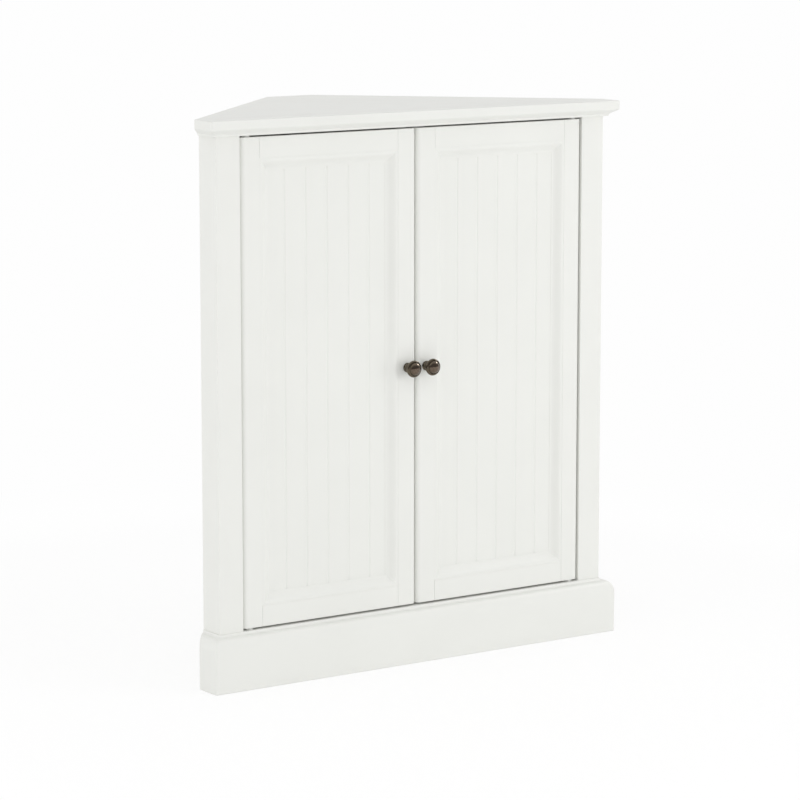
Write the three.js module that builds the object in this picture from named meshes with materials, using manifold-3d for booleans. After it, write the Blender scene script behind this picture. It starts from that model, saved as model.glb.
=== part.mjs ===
// White corner cupboard with a pair of panelled doors, in millimetres, +Z up, front towards -Y.
// Plan places are measured from the middle of the front face of the case, heights from the floor.

import * as THREE from 'three';
import { mergeVertices } from 'three/addons/utils/BufferGeometryUtils.js';
import Module from 'manifold-3d';

const wasm = await Module();
wasm.setup();

// Whole cupboard
const overallHeight = 914;
const caseWidth = 762;
const sideDepth = 50;
const cornerFlatWidth = 90;
const overhang = 21;
const boardThickness = 15;
const seam = 0.3;
const overrun = 5;

// Top board and the ogee under its edge
const topThickness = 26;
const topFlatHeight = 13.5;
const topEase = 1.5;
const ogeeWidth = 12.5;
const ogeeFillet = 1.8;

// Plinth and its rounded shoulder
const plinthHeight = 92.5;
const shoulderWidth = 13;
const shoulderHeight = 19.5;
const coveWidth = 5.5;
const coveHeight = 4.5;

// Face frame
const faceStileWidth = 43.5;
const faceStileThickness = 18;

// Doors
const doorThickness = 18;
const doorSideGap = 1.5;
const doorEndGap = 3.5;
const meetingGap = 2;
const hingeStileWidth = 35.5;
const meetingStileWidth = 35.5;
const railWidth = 34;
const meetingFrontRadius = 8;
const meetingBackRadius = 3;

// Grooved panel held in the door frame
const panelRecess = 9.5;
const panelThickness = 5;
const grooveDepth = 8;
const tongueSlack = 1;
const plankPitch = 40.5;
const plankGrooveWidth = 5;
const plankGrooveDepth = 1.2;

// Moulding planted round the panel
const mouldingWidth = 20;
const mouldingReveal = 0.6;
const mouldingOuterFillet = 2.5;
const mouldingInnerFillet = 1.5;
const mouldingInnerHeight = 0.8;

// Pivot hinges: a flanged pin in the case runs in a flanged bush in the door
const pivotInset = 15;
const pivotPinRadius = 2.5;
const pivotPinLength = 9;
const pivotPlugRadius = 4;
const pivotPlugLength = 10;
const pivotFlangeRadius = 6.5;
const pivotFlangeThickness = 1.3;
const bushRadius = 5;
const bushLength = 12;
const bushFlangeThickness = 1.2;
const bushFlangeRadius = 6.5;

// Knobs and the screws that hold them
const knobHeadRadius = 14;
const knobHeadThickness = 9;
const knobRimHeight = 1;
const knobRimWidth = 2.8;
const knobRimRise = 2.8;
const knobDimpleDepth = 0.4;
const knobCrownRadius = 10.4;
const knobNeckRadius = 6;
const knobBaseRadius = 8;
const knobBaseThickness = 3;
const knobReach = 28;
const knobHeightAboveDoorMiddle = 3;
const knobBoreDepth = 10;
const screwRadius = 2;
const screwHeadRadius = 4.5;
const screwHeadHeight = 2.2;
const screwEngagement = 8;

// Shelves on pins
const shelfThickness = 15;
const shelfSlack = 0.7;
const shelfSetback = 32;
const lowerShelfShare = 0.34;
const upperShelfShare = 0.67;
const pinRadius = 2.5;
const pinPegLength = 9;
const pinSupportLength = 9;
const pinCollarRadius = 4.5;
const pinCollarThickness = 1.5;
const pinEndInset = 75;
const pinHoleDepth = 10;
const pinHolePitch = 32;
const pinHolesAboveAndBelow = 1;

// Double magnetic catch under the top board, and the plate on each door
const catchWidth = 64;
const catchDepth = 24;
const catchFlangeThickness = 2.5;
const magnetWidth = 22;
const magnetDepth = 17;
const magnetHeight = 17;
const strikeWidth = 16;
const strikeHeight = 13;
const strikeThickness = 1.2;

// Roundness of the curved work
const arcSteps = 8;
const roundSegments = 20;
const holeSegments = 12;
const knobSegments = 28;

// Values worked out from the sizes above
const halfCase = caseWidth / 2;
const caseHeight = overallHeight - topThickness;
const wallReach = halfCase + sideDepth;
const backY = wallReach - cornerFlatWidth / 2;
const boardAcross = boardThickness * Math.SQRT2;
const innerReach = wallReach - boardAcross;
const innerSideX = halfCase - boardThickness;
const doorwayHalf = halfCase - faceStileWidth;
const doorHingeX = -(doorwayHalf - doorSideGap);
const doorMeetingX = -meetingGap / 2;
const doorBottom = plinthHeight + doorEndGap;
const doorTop = caseHeight - doorEndGap;
const openingLeft = doorHingeX + hingeStileWidth;
const openingRight = doorMeetingX - meetingStileWidth;
const openingBottom = doorBottom + railWidth;
const openingTop = doorTop - railWidth;
const openingMiddle = (openingLeft + openingRight) / 2;
const panelBack = panelRecess + panelThickness;
const pivotX = doorHingeX + pivotInset;
const pivotY = doorThickness / 2;
const knobX = doorMeetingX - meetingStileWidth / 2;
const knobZ = (doorBottom + doorTop) / 2 + knobHeightAboveDoorMiddle;
const insideHeight = caseHeight - plinthHeight;
const shelfClearance = seam + pinCollarThickness + shelfSlack;
const originY = (backY - knobReach - seam) / 2;

// Finishes
const paint = new THREE.MeshStandardMaterial({ color: 0xeeeee9, roughness: 0.45, metalness: 0 });
const panelPaint = new THREE.MeshStandardMaterial({ color: 0xecece7, roughness: 0.5, metalness: 0 });
const whitePlastic = new THREE.MeshStandardMaterial({ color: 0xf2f2ee, roughness: 0.4, metalness: 0 });
const bronze = new THREE.MeshStandardMaterial({ color: 0x2b1d17, roughness: 0.35, metalness: 0.8 });
const steel = new THREE.MeshStandardMaterial({ color: 0xb9bcc0, roughness: 0.35, metalness: 1 });

// Small tools for the solids

function solidOf(geometry) {
  const bare = geometry.clone();
  bare.deleteAttribute('normal');
  bare.deleteAttribute('uv');
  const merged = mergeVertices(bare);
  const index = merged.index.array;
  const kept = [];
  for (let i = 0; i < index.length; i += 3) {
    const [a, b, c] = [index[i], index[i + 1], index[i + 2]];
    if (a !== b && b !== c && c !== a) kept.push(a, b, c);
  }
  return new wasm.Manifold(new wasm.Mesh({
    numProp: 3,
    vertProperties: merged.attributes.position.array,
    triVerts: Uint32Array.from(kept),
  }));
}

function geometryOf(solid) {
  const mesh = solid.getMesh();
  const geometry = new THREE.BufferGeometry();
  geometry.setAttribute('position', new THREE.BufferAttribute(mesh.vertProperties, 3));
  geometry.setIndex(new THREE.BufferAttribute(mesh.triVerts, 1));
  return geometry;
}

function cut(geometry, tools) {
  let solid = solidOf(geometry);
  for (const tool of tools) solid = solid.subtract(solidOf(tool));
  return geometryOf(solid);
}

function join(geometries) {
  const solids = geometries.map(solidOf);
  return geometryOf(solids.reduce((whole, next) => whole.add(next)));
}

function common(geometries) {
  const solids = geometries.map(solidOf);
  return geometryOf(solids.reduce((whole, next) => whole.intersect(next)));
}

function shapeOf(outline) {
  return new THREE.Shape(outline.map(([a, b]) => new THREE.Vector2(a, b)));
}

// An outline in plan raised between two heights
function upright(outline, bottom, top) {
  const geometry = new THREE.ExtrudeGeometry(shapeOf(outline), {
    depth: top - bottom,
    bevelEnabled: false,
  });
  return geometry.translate(0, 0, bottom);
}

function block([x0, x1], [y0, y1], [z0, z1]) {
  const geometry = new THREE.BoxGeometry(x1 - x0, y1 - y0, z1 - z0);
  return geometry.translate((x0 + x1) / 2, (y0 + y1) / 2, (z0 + z1) / 2);
}

// A profile (first axis, second axis) run along the third, each end sloped with the first axis
function mouldingRun(profile, length, startSlope, endSlope) {
  const geometry = new THREE.ExtrudeGeometry(shapeOf(profile), { depth: length, bevelEnabled: false });
  const place = geometry.attributes.position;
  for (let i = 0; i < place.count; i += 1) {
    const out = place.getX(i);
    const atEnd = place.getZ(i) > length / 2;
    place.setZ(i, atEnd ? length + out * endSlope : -out * startSlope);
  }
  return geometry;
}

// Turns a run's first and second axes into two directions of the cupboard, and sets its start
function laid(geometry, start, first, second) {
  const along = new THREE.Vector3().crossVectors(first, second);
  const matrix = new THREE.Matrix4().makeBasis(first, second, along).setPosition(start);
  return geometry.applyMatrix4(matrix);
}

function mirrored(geometry) {
  const copy = geometry.index ? geometry.toNonIndexed() : geometry.clone();
  const place = copy.attributes.position;
  for (let i = 0; i < place.count; i += 3) {
    const [ax, ay, az] = [place.getX(i), place.getY(i), place.getZ(i)];
    place.setXYZ(i, -place.getX(i + 1), place.getY(i + 1), place.getZ(i + 1));
    place.setXYZ(i + 1, -ax, ay, az);
    place.setX(i + 2, -place.getX(i + 2));
  }
  copy.deleteAttribute('normal');
  copy.deleteAttribute('uv');
  return mergeVertices(copy);
}

// Points of a quarter ellipse from one point to another; the first stretch runs along the given axis
function quarter([a0, b0], [a1, b1], startsAlongFirst) {
  const points = [];
  for (let i = 0; i <= arcSteps; i += 1) {
    const turn = (i / arcSteps) * Math.PI / 2;
    const fast = Math.sin(turn);
    const slow = 1 - Math.cos(turn);
    points.push([
      a0 + (a1 - a0) * (startsAlongFirst ? fast : slow),
      b0 + (b1 - b0) * (startsAlongFirst ? slow : fast),
    ]);
  }
  return points;
}

// Points of a soft S from one point to another, level at both ends and steepest in its middle
function ogee([a0, b0], [a1, b1]) {
  const points = [];
  const steps = arcSteps * 2;
  for (let i = 0; i <= steps; i += 1) {
    const share = i / steps;
    const rise = (1 - Math.cos(share * Math.PI)) / 2;
    points.push([a0 + (a1 - a0) * share, b0 + (b1 - b0) * rise]);
  }
  return points;
}

function revolve(profile, segments) {
  return new THREE.LatheGeometry(profile.map(([r, h]) => new THREE.Vector2(r, h)), segments);
}

function rod(radius, length, segments) {
  return revolve([[0, 0], [radius, 0], [radius, length], [0, length]], segments);
}

const right = new THREE.Vector3(1, 0, 0);
const left = new THREE.Vector3(-1, 0, 0);
const front = new THREE.Vector3(0, -1, 0);
const back = new THREE.Vector3(0, 1, 0);
const up = new THREE.Vector3(0, 0, 1);
const down = new THREE.Vector3(0, 0, -1);

// Plan outline of a board inside the case, drawn back from the walls by a clearance
function insideOutline(frontY, clearance) {
  const sideX = innerSideX - clearance;
  const reach = innerReach - clearance * Math.SQRT2;
  const boardBack = backY - boardThickness - clearance;
  const sideBack = reach - sideX;
  const cornerX = reach - boardBack;
  return [
    [-sideX, frontY], [sideX, frontY], [sideX, sideBack],
    [cornerX, boardBack], [-cornerX, boardBack], [-sideX, sideBack],
  ];
}

// Top board: its front and side edges carry an ogee, its back edges lie on the two walls

function topEdge() {
  const flatBottom = overallHeight - topFlatHeight;
  const ogeeBottom = caseHeight + ogeeFillet;
  const middle = [overhang - ogeeWidth / 2, (flatBottom + ogeeBottom) / 2];
  return [
    [overhang - ogeeWidth, caseHeight],
    ...quarter([overhang - ogeeWidth, ogeeBottom], middle, false),
    ...quarter(middle, [overhang, flatBottom], true).slice(1),
    ...quarter([overhang, overallHeight - topEase], [overhang - topEase, overallHeight], false),
  ];
}

function topBoard() {
  const edge = topEdge();
  const length = caseWidth + (overhang + overrun) * 2;
  const frontSection = [
    [-(backY + overrun), overallHeight],
    [-(backY + overrun), caseHeight],
    ...edge,
  ];
  const acrossFront = laid(
    mouldingRun(frontSection, length, 0, 0),
    new THREE.Vector3(length / 2, 0, 0), front, up,
  );
  const sideSection = [
    ...edge.map(([out, height]) => [halfCase + out, height]),
    ...edge.map(([out, height]) => [-(halfCase + out), height]).reverse(),
  ];
  const depth = backY + overhang + overrun * 2;
  const alongSides = laid(
    mouldingRun(sideSection, depth, 0, 0),
    new THREE.Vector3(0, backY + overrun, 0), right, up,
  );
  const edgeX = halfCase + overhang;
  const edgeBack = wallReach - edgeX;
  const flatX = cornerFlatWidth / 2;
  const plan = upright([
    [-edgeX, -overhang], [edgeX, -overhang], [edgeX, edgeBack],
    [flatX, backY], [-flatX, backY], [-edgeX, edgeBack],
  ], caseHeight - overrun, overallHeight + overrun);
  const board = common([plan, acrossFront, alongSides]);
  return cut(board, [1, -1].map((side) => plugHole(side, caseHeight, 1)));
}

// A bore for a pivot's plug, upwards into the top board or downwards into the bottom panel
function plugHole(side, height, way) {
  const depth = pivotPlugLength + seam;
  const bore = rod(pivotPlugRadius + seam, depth + overrun, holeSegments).rotateX(Math.PI / 2);
  const base = way > 0 ? height - overrun : height - depth;
  return bore.translate(side * pivotX, pivotY, base);
}

function bottomPanel() {
  const panelBottom = plinthHeight - boardThickness;
  const inside = upright(insideOutline(faceStileThickness + seam, seam), panelBottom, plinthHeight);
  const tongue = block(
    [-(doorwayHalf - seam), doorwayHalf - seam],
    [0, faceStileThickness + seam * 2],
    [panelBottom, plinthHeight],
  );
  return cut(join([inside, tongue]), [1, -1].map((side) => plugHole(side, plinthHeight, -1)));
}

// Case walls

function wallPanel() {
  const outline = [
    [-halfCase, sideDepth], [-halfCase, innerReach - halfCase],
    [-(innerReach - backY), backY], [-cornerFlatWidth / 2, backY],
  ];
  const panel = upright(outline, 0, caseHeight - seam);
  return cut(panel, pinPlaces().flatMap(({ x, y, z }) => {
    const holes = [];
    for (let i = -pinHolesAboveAndBelow; i <= pinHolesAboveAndBelow; i += 1) {
      const hole = rod(pinRadius + seam, pinHoleDepth + overrun, holeSegments);
      hole.translate(0, -pinHoleDepth, 0).rotateZ(-Math.PI * 3 / 4);
      holes.push(hole.translate(x, y, z + i * pinHolePitch));
    }
    return holes;
  }));
}

function cornerBackPanel() {
  const reach = innerReach - seam * Math.SQRT2;
  const inner = backY - boardThickness;
  return upright([
    [-(reach - inner), inner], [reach - inner, inner],
    [reach - backY, backY], [-(reach - backY), backY],
  ], 0, caseHeight - seam);
}

function sidePanel() {
  const reach = innerReach - seam * Math.SQRT2;
  const start = faceStileThickness + seam;
  return upright([
    [-halfCase, start], [-innerSideX, start],
    [-innerSideX, reach - innerSideX], [-halfCase, reach - halfCase],
  ], 0, caseHeight - seam);
}

function faceStile() {
  return block([-halfCase, -doorwayHalf], [0, faceStileThickness], [0, caseHeight - seam]);
}

function baseRail() {
  const half = doorwayHalf - seam;
  return block([-half, half], [0, faceStileThickness], [0, plinthHeight - boardThickness - seam]);
}

// Plinth: three mitred runs of one profile

function plinthProfile() {
  const shoulderTop = [overhang - shoulderWidth, plinthHeight - coveHeight];
  return [
    [seam, 0], [overhang, 0],
    ...quarter([overhang, shoulderTop[1] - shoulderHeight], shoulderTop, false),
    ...quarter(shoulderTop, [shoulderTop[0] - coveWidth, plinthHeight], true).slice(1),
    [seam, plinthHeight],
  ];
}

function plinthFront() {
  const run = mouldingRun(plinthProfile(), caseWidth, 1, 1);
  return laid(run, new THREE.Vector3(halfCase, 0, 0), front, up);
}

function plinthReturn() {
  const run = mouldingRun(plinthProfile(), sideDepth - seam, 1, -1);
  return laid(run, new THREE.Vector3(-halfCase, seam, 0), left, up);
}

// Shelves and their pins

function shelfHeights() {
  return {
    lower: plinthHeight + insideHeight * lowerShelfShare,
    upper: plinthHeight + insideHeight * upperShelfShare,
  };
}

function shelf(bottom) {
  return upright(insideOutline(shelfSetback, shelfClearance), bottom, bottom + shelfThickness);
}

// Where the pins stand on the inner face of the left wall
function pinPlaces() {
  const frontX = -innerSideX;
  const backX = -(innerReach - (backY - boardThickness));
  const inset = pinEndInset / Math.SQRT2;
  const places = [];
  for (const [level, bottom] of Object.entries(shelfHeights())) {
    for (const [end, x] of [['front', frontX + inset], ['back', backX - inset]]) {
      places.push({ level, end, x, y: innerReach + x, z: bottom - seam - pinRadius });
    }
  }
  return places;
}

function shelfPin() {
  return revolve([
    [0, -pinPegLength], [pinRadius, -pinPegLength], [pinRadius, seam],
    [pinCollarRadius, seam], [pinCollarRadius, seam + pinCollarThickness],
    [pinRadius, seam + pinCollarThickness],
    [pinRadius, seam + pinCollarThickness + pinSupportLength],
    [0, seam + pinCollarThickness + pinSupportLength],
  ], roundSegments);
}

// Doors: frame, grooved panel and planted moulding, drawn for the left door

function panelGroove(edge, inward) {
  const deep = edge - inward * grooveDepth;
  return [
    [edge, panelRecess - seam], [deep, panelRecess - seam],
    [deep, panelBack + seam], [edge, panelBack + seam],
  ];
}

function hingeStile() {
  const r = doorThickness / 2;
  const outline = [
    [openingLeft, 0],
    ...panelGroove(openingLeft, 1),
    [openingLeft, doorThickness],
    ...quarter([doorHingeX + r, doorThickness], [doorHingeX, r], true),
    ...quarter([doorHingeX, r], [doorHingeX + r, 0], false).slice(1),
  ];
  const stile = upright(outline, doorBottom, doorTop);
  return cut(stile, [bushHole(doorTop, 1), bushHole(doorBottom, -1)]);
}

function bushHole(end, way) {
  const depth = bushLength + seam;
  const bore = rod(bushRadius + seam, depth + overrun, holeSegments).rotateX(Math.PI / 2);
  const base = way > 0 ? end - depth : end - overrun;
  return bore.translate(pivotX, pivotY, base);
}

function meetingStile() {
  const outline = [
    [openingRight, 0],
    ...quarter([doorMeetingX - meetingFrontRadius, 0], [doorMeetingX, meetingFrontRadius], true),
    ...quarter(
      [doorMeetingX, doorThickness - meetingBackRadius],
      [doorMeetingX - meetingBackRadius, doorThickness], false,
    ),
    [openingRight, doorThickness],
    ...panelGroove(openingRight, -1).reverse(),
  ];
  const stile = upright(outline, doorBottom, doorTop);
  const length = doorThickness + overrun * 2;
  const screwHole = rod(screwRadius + seam, length, holeSegments);
  return cut(stile, [screwHole.translate(knobX, -overrun, knobZ)]);
}

// A rail with its tongues, for the top (way 1) or the bottom (way -1) of the door
function doorRail(way) {
  const inner = way > 0 ? openingTop : openingBottom;
  const outer = way > 0 ? doorTop : doorBottom;
  const section = [
    [0, outer], [0, inner],
    ...panelGroove(inner, -way).map(([height, depth]) => [depth, height]),
    [doorThickness, inner], [doorThickness, outer],
  ];
  const start = openingLeft + seam;
  const length = openingRight - openingLeft - seam * 2;
  const body = laid(mouldingRun(section, length, 0, 0), new THREE.Vector3(start, 0, 0), back, up);
  const reach = grooveDepth - tongueSlack;
  const solidFrom = inner + way * grooveDepth;
  const heights = [Math.min(solidFrom, outer), Math.max(solidFrom, outer)];
  const depths = [panelRecess, panelBack];
  const tongue = block([openingLeft - reach, openingRight + reach], depths, heights);
  return join([body, tongue]);
}

function doorPanel() {
  const reach = grooveDepth - tongueSlack;
  const [x0, x1] = [openingLeft - reach, openingRight + reach];
  const count = Math.floor((openingRight - openingLeft) / 2 / plankPitch);
  const face = [];
  for (let i = -count; i <= count; i += 1) {
    const x = openingMiddle + i * plankPitch;
    face.push([x - plankGrooveWidth / 2, panelRecess]);
    face.push([x, panelRecess + plankGrooveDepth]);
    face.push([x + plankGrooveWidth / 2, panelRecess]);
  }
  const outline = [[x0, panelRecess], ...face, [x1, panelRecess], [x1, panelBack], [x0, panelBack]];
  return upright(outline, openingBottom - reach, openingTop + reach);
}

function panelMouldingProfile() {
  const base = panelRecess - seam;
  const innerTop = base - mouldingInnerHeight;
  const start = [mouldingOuterFillet, mouldingReveal];
  const end = [mouldingWidth - mouldingInnerFillet, innerTop];
  return [
    [seam, base], [seam, mouldingReveal],
    ...ogee(start, end),
    [mouldingWidth, innerTop], [mouldingWidth, base],
  ];
}

function panelMouldings() {
  const profile = panelMouldingProfile();
  const width = openingRight - openingLeft;
  const height = openingTop - openingBottom;
  const corner = (x, z) => new THREE.Vector3(x, 0, z);
  const trimmed = (length) => length - seam * 2;
  const runs = {
    bottom: [trimmed(width), corner(openingRight - seam, openingBottom), up],
    top: [trimmed(width), corner(openingLeft + seam, openingTop), down],
    hinge: [trimmed(height), corner(openingLeft, openingBottom + seam), right],
    meeting: [trimmed(height), corner(openingRight, openingTop - seam), left],
  };
  return Object.fromEntries(Object.entries(runs).map(([side, [length, start, inward]]) => {
    const run = mouldingRun(profile, length, -1, -1);
    return [side, laid(run, start, inward, back)];
  }));
}

// Knob, its screw, and the pivots

// A round foot, a thick neck that flares to the rim, and a low crown inside the rim's ring
function knob() {
  const foot = [knobBaseRadius, knobBaseThickness / 2];
  const neck = [knobNeckRadius, knobBaseThickness * 2];
  const rimBottom = [knobHeadRadius, knobReach - knobHeadThickness];
  const rimTop = [knobHeadRadius, rimBottom[1] + knobRimHeight];
  const ring = [knobHeadRadius - knobRimWidth, rimTop[1] + knobRimRise];
  const crownEdge = [knobCrownRadius, ring[1] - knobDimpleDepth];
  return revolve([
    [0, knobBoreDepth], [screwRadius + seam, knobBoreDepth], [screwRadius + seam, 0],
    [knobBaseRadius, 0],
    ...quarter(foot, neck, true),
    ...quarter(neck, rimBottom, false).slice(1),
    ...quarter(rimTop, ring, false),
    ...quarter(crownEdge, [0, knobReach], false),
  ], knobSegments);
}

function knobScrew() {
  const shank = doorThickness + screwEngagement;
  const headTop = seam + screwHeadHeight;
  return revolve([
    [0, -shank], [screwRadius, -shank], [screwRadius, seam], [screwHeadRadius, seam],
    ...quarter([screwHeadRadius, seam + screwHeadHeight / 3], [0, headTop], false),
  ], roundSegments);
}

// A plug in the case, a flange against it and a pin that points into the door, base at height 0
function pivot() {
  const flangeTop = seam + pivotFlangeThickness;
  const pinTop = flangeTop + pivotPinLength;
  return revolve([
    [0, -pivotPlugLength], [pivotPlugRadius, -pivotPlugLength], [pivotPlugRadius, seam],
    [pivotFlangeRadius, seam], [pivotFlangeRadius, flangeTop],
    [pivotPinRadius, flangeTop], [pivotPinRadius, pinTop - pivotPinRadius / 2],
    [pivotPinRadius / 2, pinTop], [0, pinTop],
  ], roundSegments);
}

// A bush in the door's edge with its flange on the edge, open at the flanged end
function bush() {
  const flangeTop = seam + bushFlangeThickness;
  const bore = pivotPinRadius + seam;
  const boreBottom = -(pivotPinLength + seam);
  return revolve([
    [0, -bushLength], [bushRadius, -bushLength], [bushRadius, seam],
    [bushFlangeRadius, seam], [bushFlangeRadius, flangeTop], [bore, flangeTop],
    [bore, boreBottom], [0, boreBottom],
  ], roundSegments);
}

// Catch

function magneticCatch() {
  const top = caseHeight - seam;
  const frontY = doorThickness + strikeThickness + seam * 2;
  const flange = block(
    [-catchWidth / 2, catchWidth / 2], [frontY, frontY + catchDepth], [top - catchFlangeThickness, top],
  );
  const magnets = [-1, 1].map((side) => {
    const middle = side * strikeMiddle();
    return block(
      [middle - magnetWidth / 2, middle + magnetWidth / 2],
      [frontY, frontY + magnetDepth],
      [top - magnetHeight, top - catchFlangeThickness / 2],
    );
  });
  return join([flange, ...magnets]);
}

function strikeMiddle() {
  return meetingGap / 2 + meetingStileWidth / 2;
}

function strikePlate() {
  const middleZ = caseHeight - magnetHeight / 2 - catchFlangeThickness;
  return block(
    [-strikeMiddle() - strikeWidth / 2, -strikeMiddle() + strikeWidth / 2],
    [doorThickness + seam, doorThickness + seam + strikeThickness],
    [middleZ - strikeHeight / 2, middleZ + strikeHeight / 2],
  );
}

// Assembly

const cupboard = new THREE.Group();
cupboard.position.y = -originY;

function add(name, geometry, material) {
  const mesh = new THREE.Mesh(geometry, material);
  mesh.name = name;
  cupboard.add(mesh);
  return mesh;
}

function addPair(name, geometry, material) {
  add(`left_${name}`, geometry, material);
  add(`right_${name}`, mirrored(geometry), material);
}

add('top_board', topBoard(), paint);
add('bottom_panel', bottomPanel(), paint);
addPair('wall_panel', wallPanel(), paint);
add('corner_back_panel', cornerBackPanel(), paint);
addPair('side_panel', sidePanel(), paint);
addPair('face_stile', faceStile(), paint);
add('base_rail', baseRail(), paint);
add('plinth_front', plinthFront(), paint);
addPair('plinth_return', plinthReturn(), paint);

for (const [level, bottom] of Object.entries(shelfHeights())) {
  add(`${level}_shelf`, shelf(bottom), paint);
}
for (const { level, end, x, y, z } of pinPlaces()) {
  for (const [side, way] of [['left', 1], ['right', -1]]) {
    const pin = add(`${level}_shelf_pin_${side}_${end}`, shelfPin(), steel);
    pin.position.set(way * x, y, z);
    pin.rotation.z = -way * Math.PI * 3 / 4;
  }
}

addPair('door_hinge_stile', hingeStile(), paint);
addPair('door_meeting_stile', meetingStile(), paint);
addPair('door_top_rail', doorRail(1), paint);
addPair('door_bottom_rail', doorRail(-1), paint);
addPair('door_panel', doorPanel(), panelPaint);
for (const [side, geometry] of Object.entries(panelMouldings())) {
  addPair(`door_moulding_${side}`, geometry, paint);
}
addPair('strike_plate', strikePlate(), steel);

for (const [side, way] of [['left', 1], ['right', -1]]) {
  const handle = add(`${side}_knob`, knob(), bronze);
  handle.position.set(way * knobX, -seam, knobZ);
  handle.rotation.x = Math.PI;

  const screw = add(`${side}_knob_screw`, knobScrew(), steel);
  screw.position.set(way * knobX, doorThickness, knobZ);

  for (const [end, facing, caseFace, doorEdge] of [
    ['bottom', 1, plinthHeight, doorBottom],
    ['top', -1, caseHeight, doorTop],
  ]) {
    const pin = add(`${side}_${end}_pivot`, pivot(), whitePlastic);
    pin.position.set(way * pivotX, pivotY, caseFace);
    pin.rotation.x = facing * Math.PI / 2;
    const sleeve = add(`${side}_${end}_bush`, bush(), whitePlastic);
    sleeve.position.set(way * pivotX, pivotY, doorEdge);
    sleeve.rotation.x = -facing * Math.PI / 2;
  }
}

add('magnetic_catch', magneticCatch(), whitePlastic);

export default cupboard;
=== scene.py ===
"""White corner cupboard with a pair of grooved doors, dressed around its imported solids.

The frame's bodies carry every piece. Boards keep the solids' shapes with eased arrises, and the
moulded, turned and grooved work is made anew at a finer grain in the same places.
"""

import logging
import math
from collections.abc import Sequence
from dataclasses import dataclass, field
from enum import Enum
from typing import Any

import bmesh
import bpy
from mathutils import Matrix, Vector


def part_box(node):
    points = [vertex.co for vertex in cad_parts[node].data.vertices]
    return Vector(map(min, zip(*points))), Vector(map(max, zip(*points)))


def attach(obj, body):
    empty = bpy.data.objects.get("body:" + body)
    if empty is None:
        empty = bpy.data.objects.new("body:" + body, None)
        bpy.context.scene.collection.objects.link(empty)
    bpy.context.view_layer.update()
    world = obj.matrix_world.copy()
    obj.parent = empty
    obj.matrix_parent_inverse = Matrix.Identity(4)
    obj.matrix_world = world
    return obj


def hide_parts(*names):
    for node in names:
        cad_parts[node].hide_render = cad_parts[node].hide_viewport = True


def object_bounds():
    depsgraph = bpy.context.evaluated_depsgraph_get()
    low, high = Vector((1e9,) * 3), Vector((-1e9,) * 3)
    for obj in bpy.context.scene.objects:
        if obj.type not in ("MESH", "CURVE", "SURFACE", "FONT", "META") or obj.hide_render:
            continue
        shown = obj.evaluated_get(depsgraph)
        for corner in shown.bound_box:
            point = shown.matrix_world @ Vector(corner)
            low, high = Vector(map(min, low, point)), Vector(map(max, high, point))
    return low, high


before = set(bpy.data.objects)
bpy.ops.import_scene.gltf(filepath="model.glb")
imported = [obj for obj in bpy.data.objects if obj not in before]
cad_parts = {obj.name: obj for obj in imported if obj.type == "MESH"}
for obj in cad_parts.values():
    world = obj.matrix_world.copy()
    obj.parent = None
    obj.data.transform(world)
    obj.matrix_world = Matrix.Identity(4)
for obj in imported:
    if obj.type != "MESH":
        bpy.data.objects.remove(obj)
CAD_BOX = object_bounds()

LOG = logging.getLogger("cupboard")
MM = 0.001
WELD = 0.002 * MM
FLAT_ANGLE = math.radians(0.5)
CREASE_ANGLE = math.radians(40)

RIGHT = Vector((1, 0, 0))
LEFT = Vector((-1, 0, 0))
FRONT = Vector((0, -1, 0))
BACK = Vector((0, 1, 0))
UP = Vector((0, 0, 1))
DOWN = Vector((0, 0, -1))

Point2 = tuple[float, float]
Point3 = tuple[float, float, float]
Colour = tuple[float, float, float, float]


class Slot(Enum):
    """The record's material slots."""

    PAINT = "paint"
    PANEL_PAINT = "panel_paint"
    PLASTIC = "white_plastic"
    BRONZE = "bronze"
    STEEL = "steel"


class Side(Enum):
    """Which of the two doors, by the sign of its side of the middle plane."""

    LEFT = -1
    RIGHT = 1

    @property
    def body(self) -> str:
        """The body that this side's door belongs to."""
        return f"{self.name.lower()}_door"

    def node(self, name: str) -> str:
        """The name of this side's copy of a node."""
        return f"{self.name.lower()}_{name}"


@dataclass(frozen=True)
class Box:
    """Lowest and highest corner of a CAD node at rest."""

    low: Vector
    high: Vector

    @classmethod
    def of(cls, node: str) -> "Box":
        """The box of one CAD node."""
        return cls(*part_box(node))

    @property
    def size(self) -> Vector:
        """The box's three lengths."""
        return self.high - self.low

    @property
    def middle(self) -> Vector:
        """The box's middle point."""
        return (self.low + self.high) / 2


# Node trees


class Term:
    """A number that varies over a node tree's geometry or surface, with the usual arithmetic."""

    def __init__(self, sketch: "Sketch", socket: bpy.types.NodeSocket) -> None:
        """Wraps one socket of a sketch."""
        self.sketch = sketch
        self.socket = socket

    def _with(self, operation: str, *others: "Term | float") -> "Term":
        """The result of a math node on this term and others."""
        return self.sketch.math(operation, self, *others)

    def __add__(self, other: "Term | float") -> "Term":
        """Sum."""
        return self._with("ADD", other)

    def __sub__(self, other: "Term | float") -> "Term":
        """Difference."""
        return self._with("SUBTRACT", other)

    def __rsub__(self, other: float) -> "Term":
        """A plain number less this term."""
        return self.sketch.math("SUBTRACT", other, self)

    def __mul__(self, other: "Term | float") -> "Term":
        """Product."""
        return self._with("MULTIPLY", other)

    def __truediv__(self, other: "Term | float") -> "Term":
        """Quotient."""
        return self._with("DIVIDE", other)

    def above(self, other: "Term | float") -> "Term":
        """One where this term is greater than the other, else zero."""
        return self._with("GREATER_THAN", other)

    def picks(self, when_zero: "Term | float", when_one: "Term | float") -> "Term":
        """The first value where this term is zero and the second where it is one."""
        zero = self.sketch.term(when_zero)
        return zero + (self.sketch.term(when_one) - zero) * self


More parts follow.
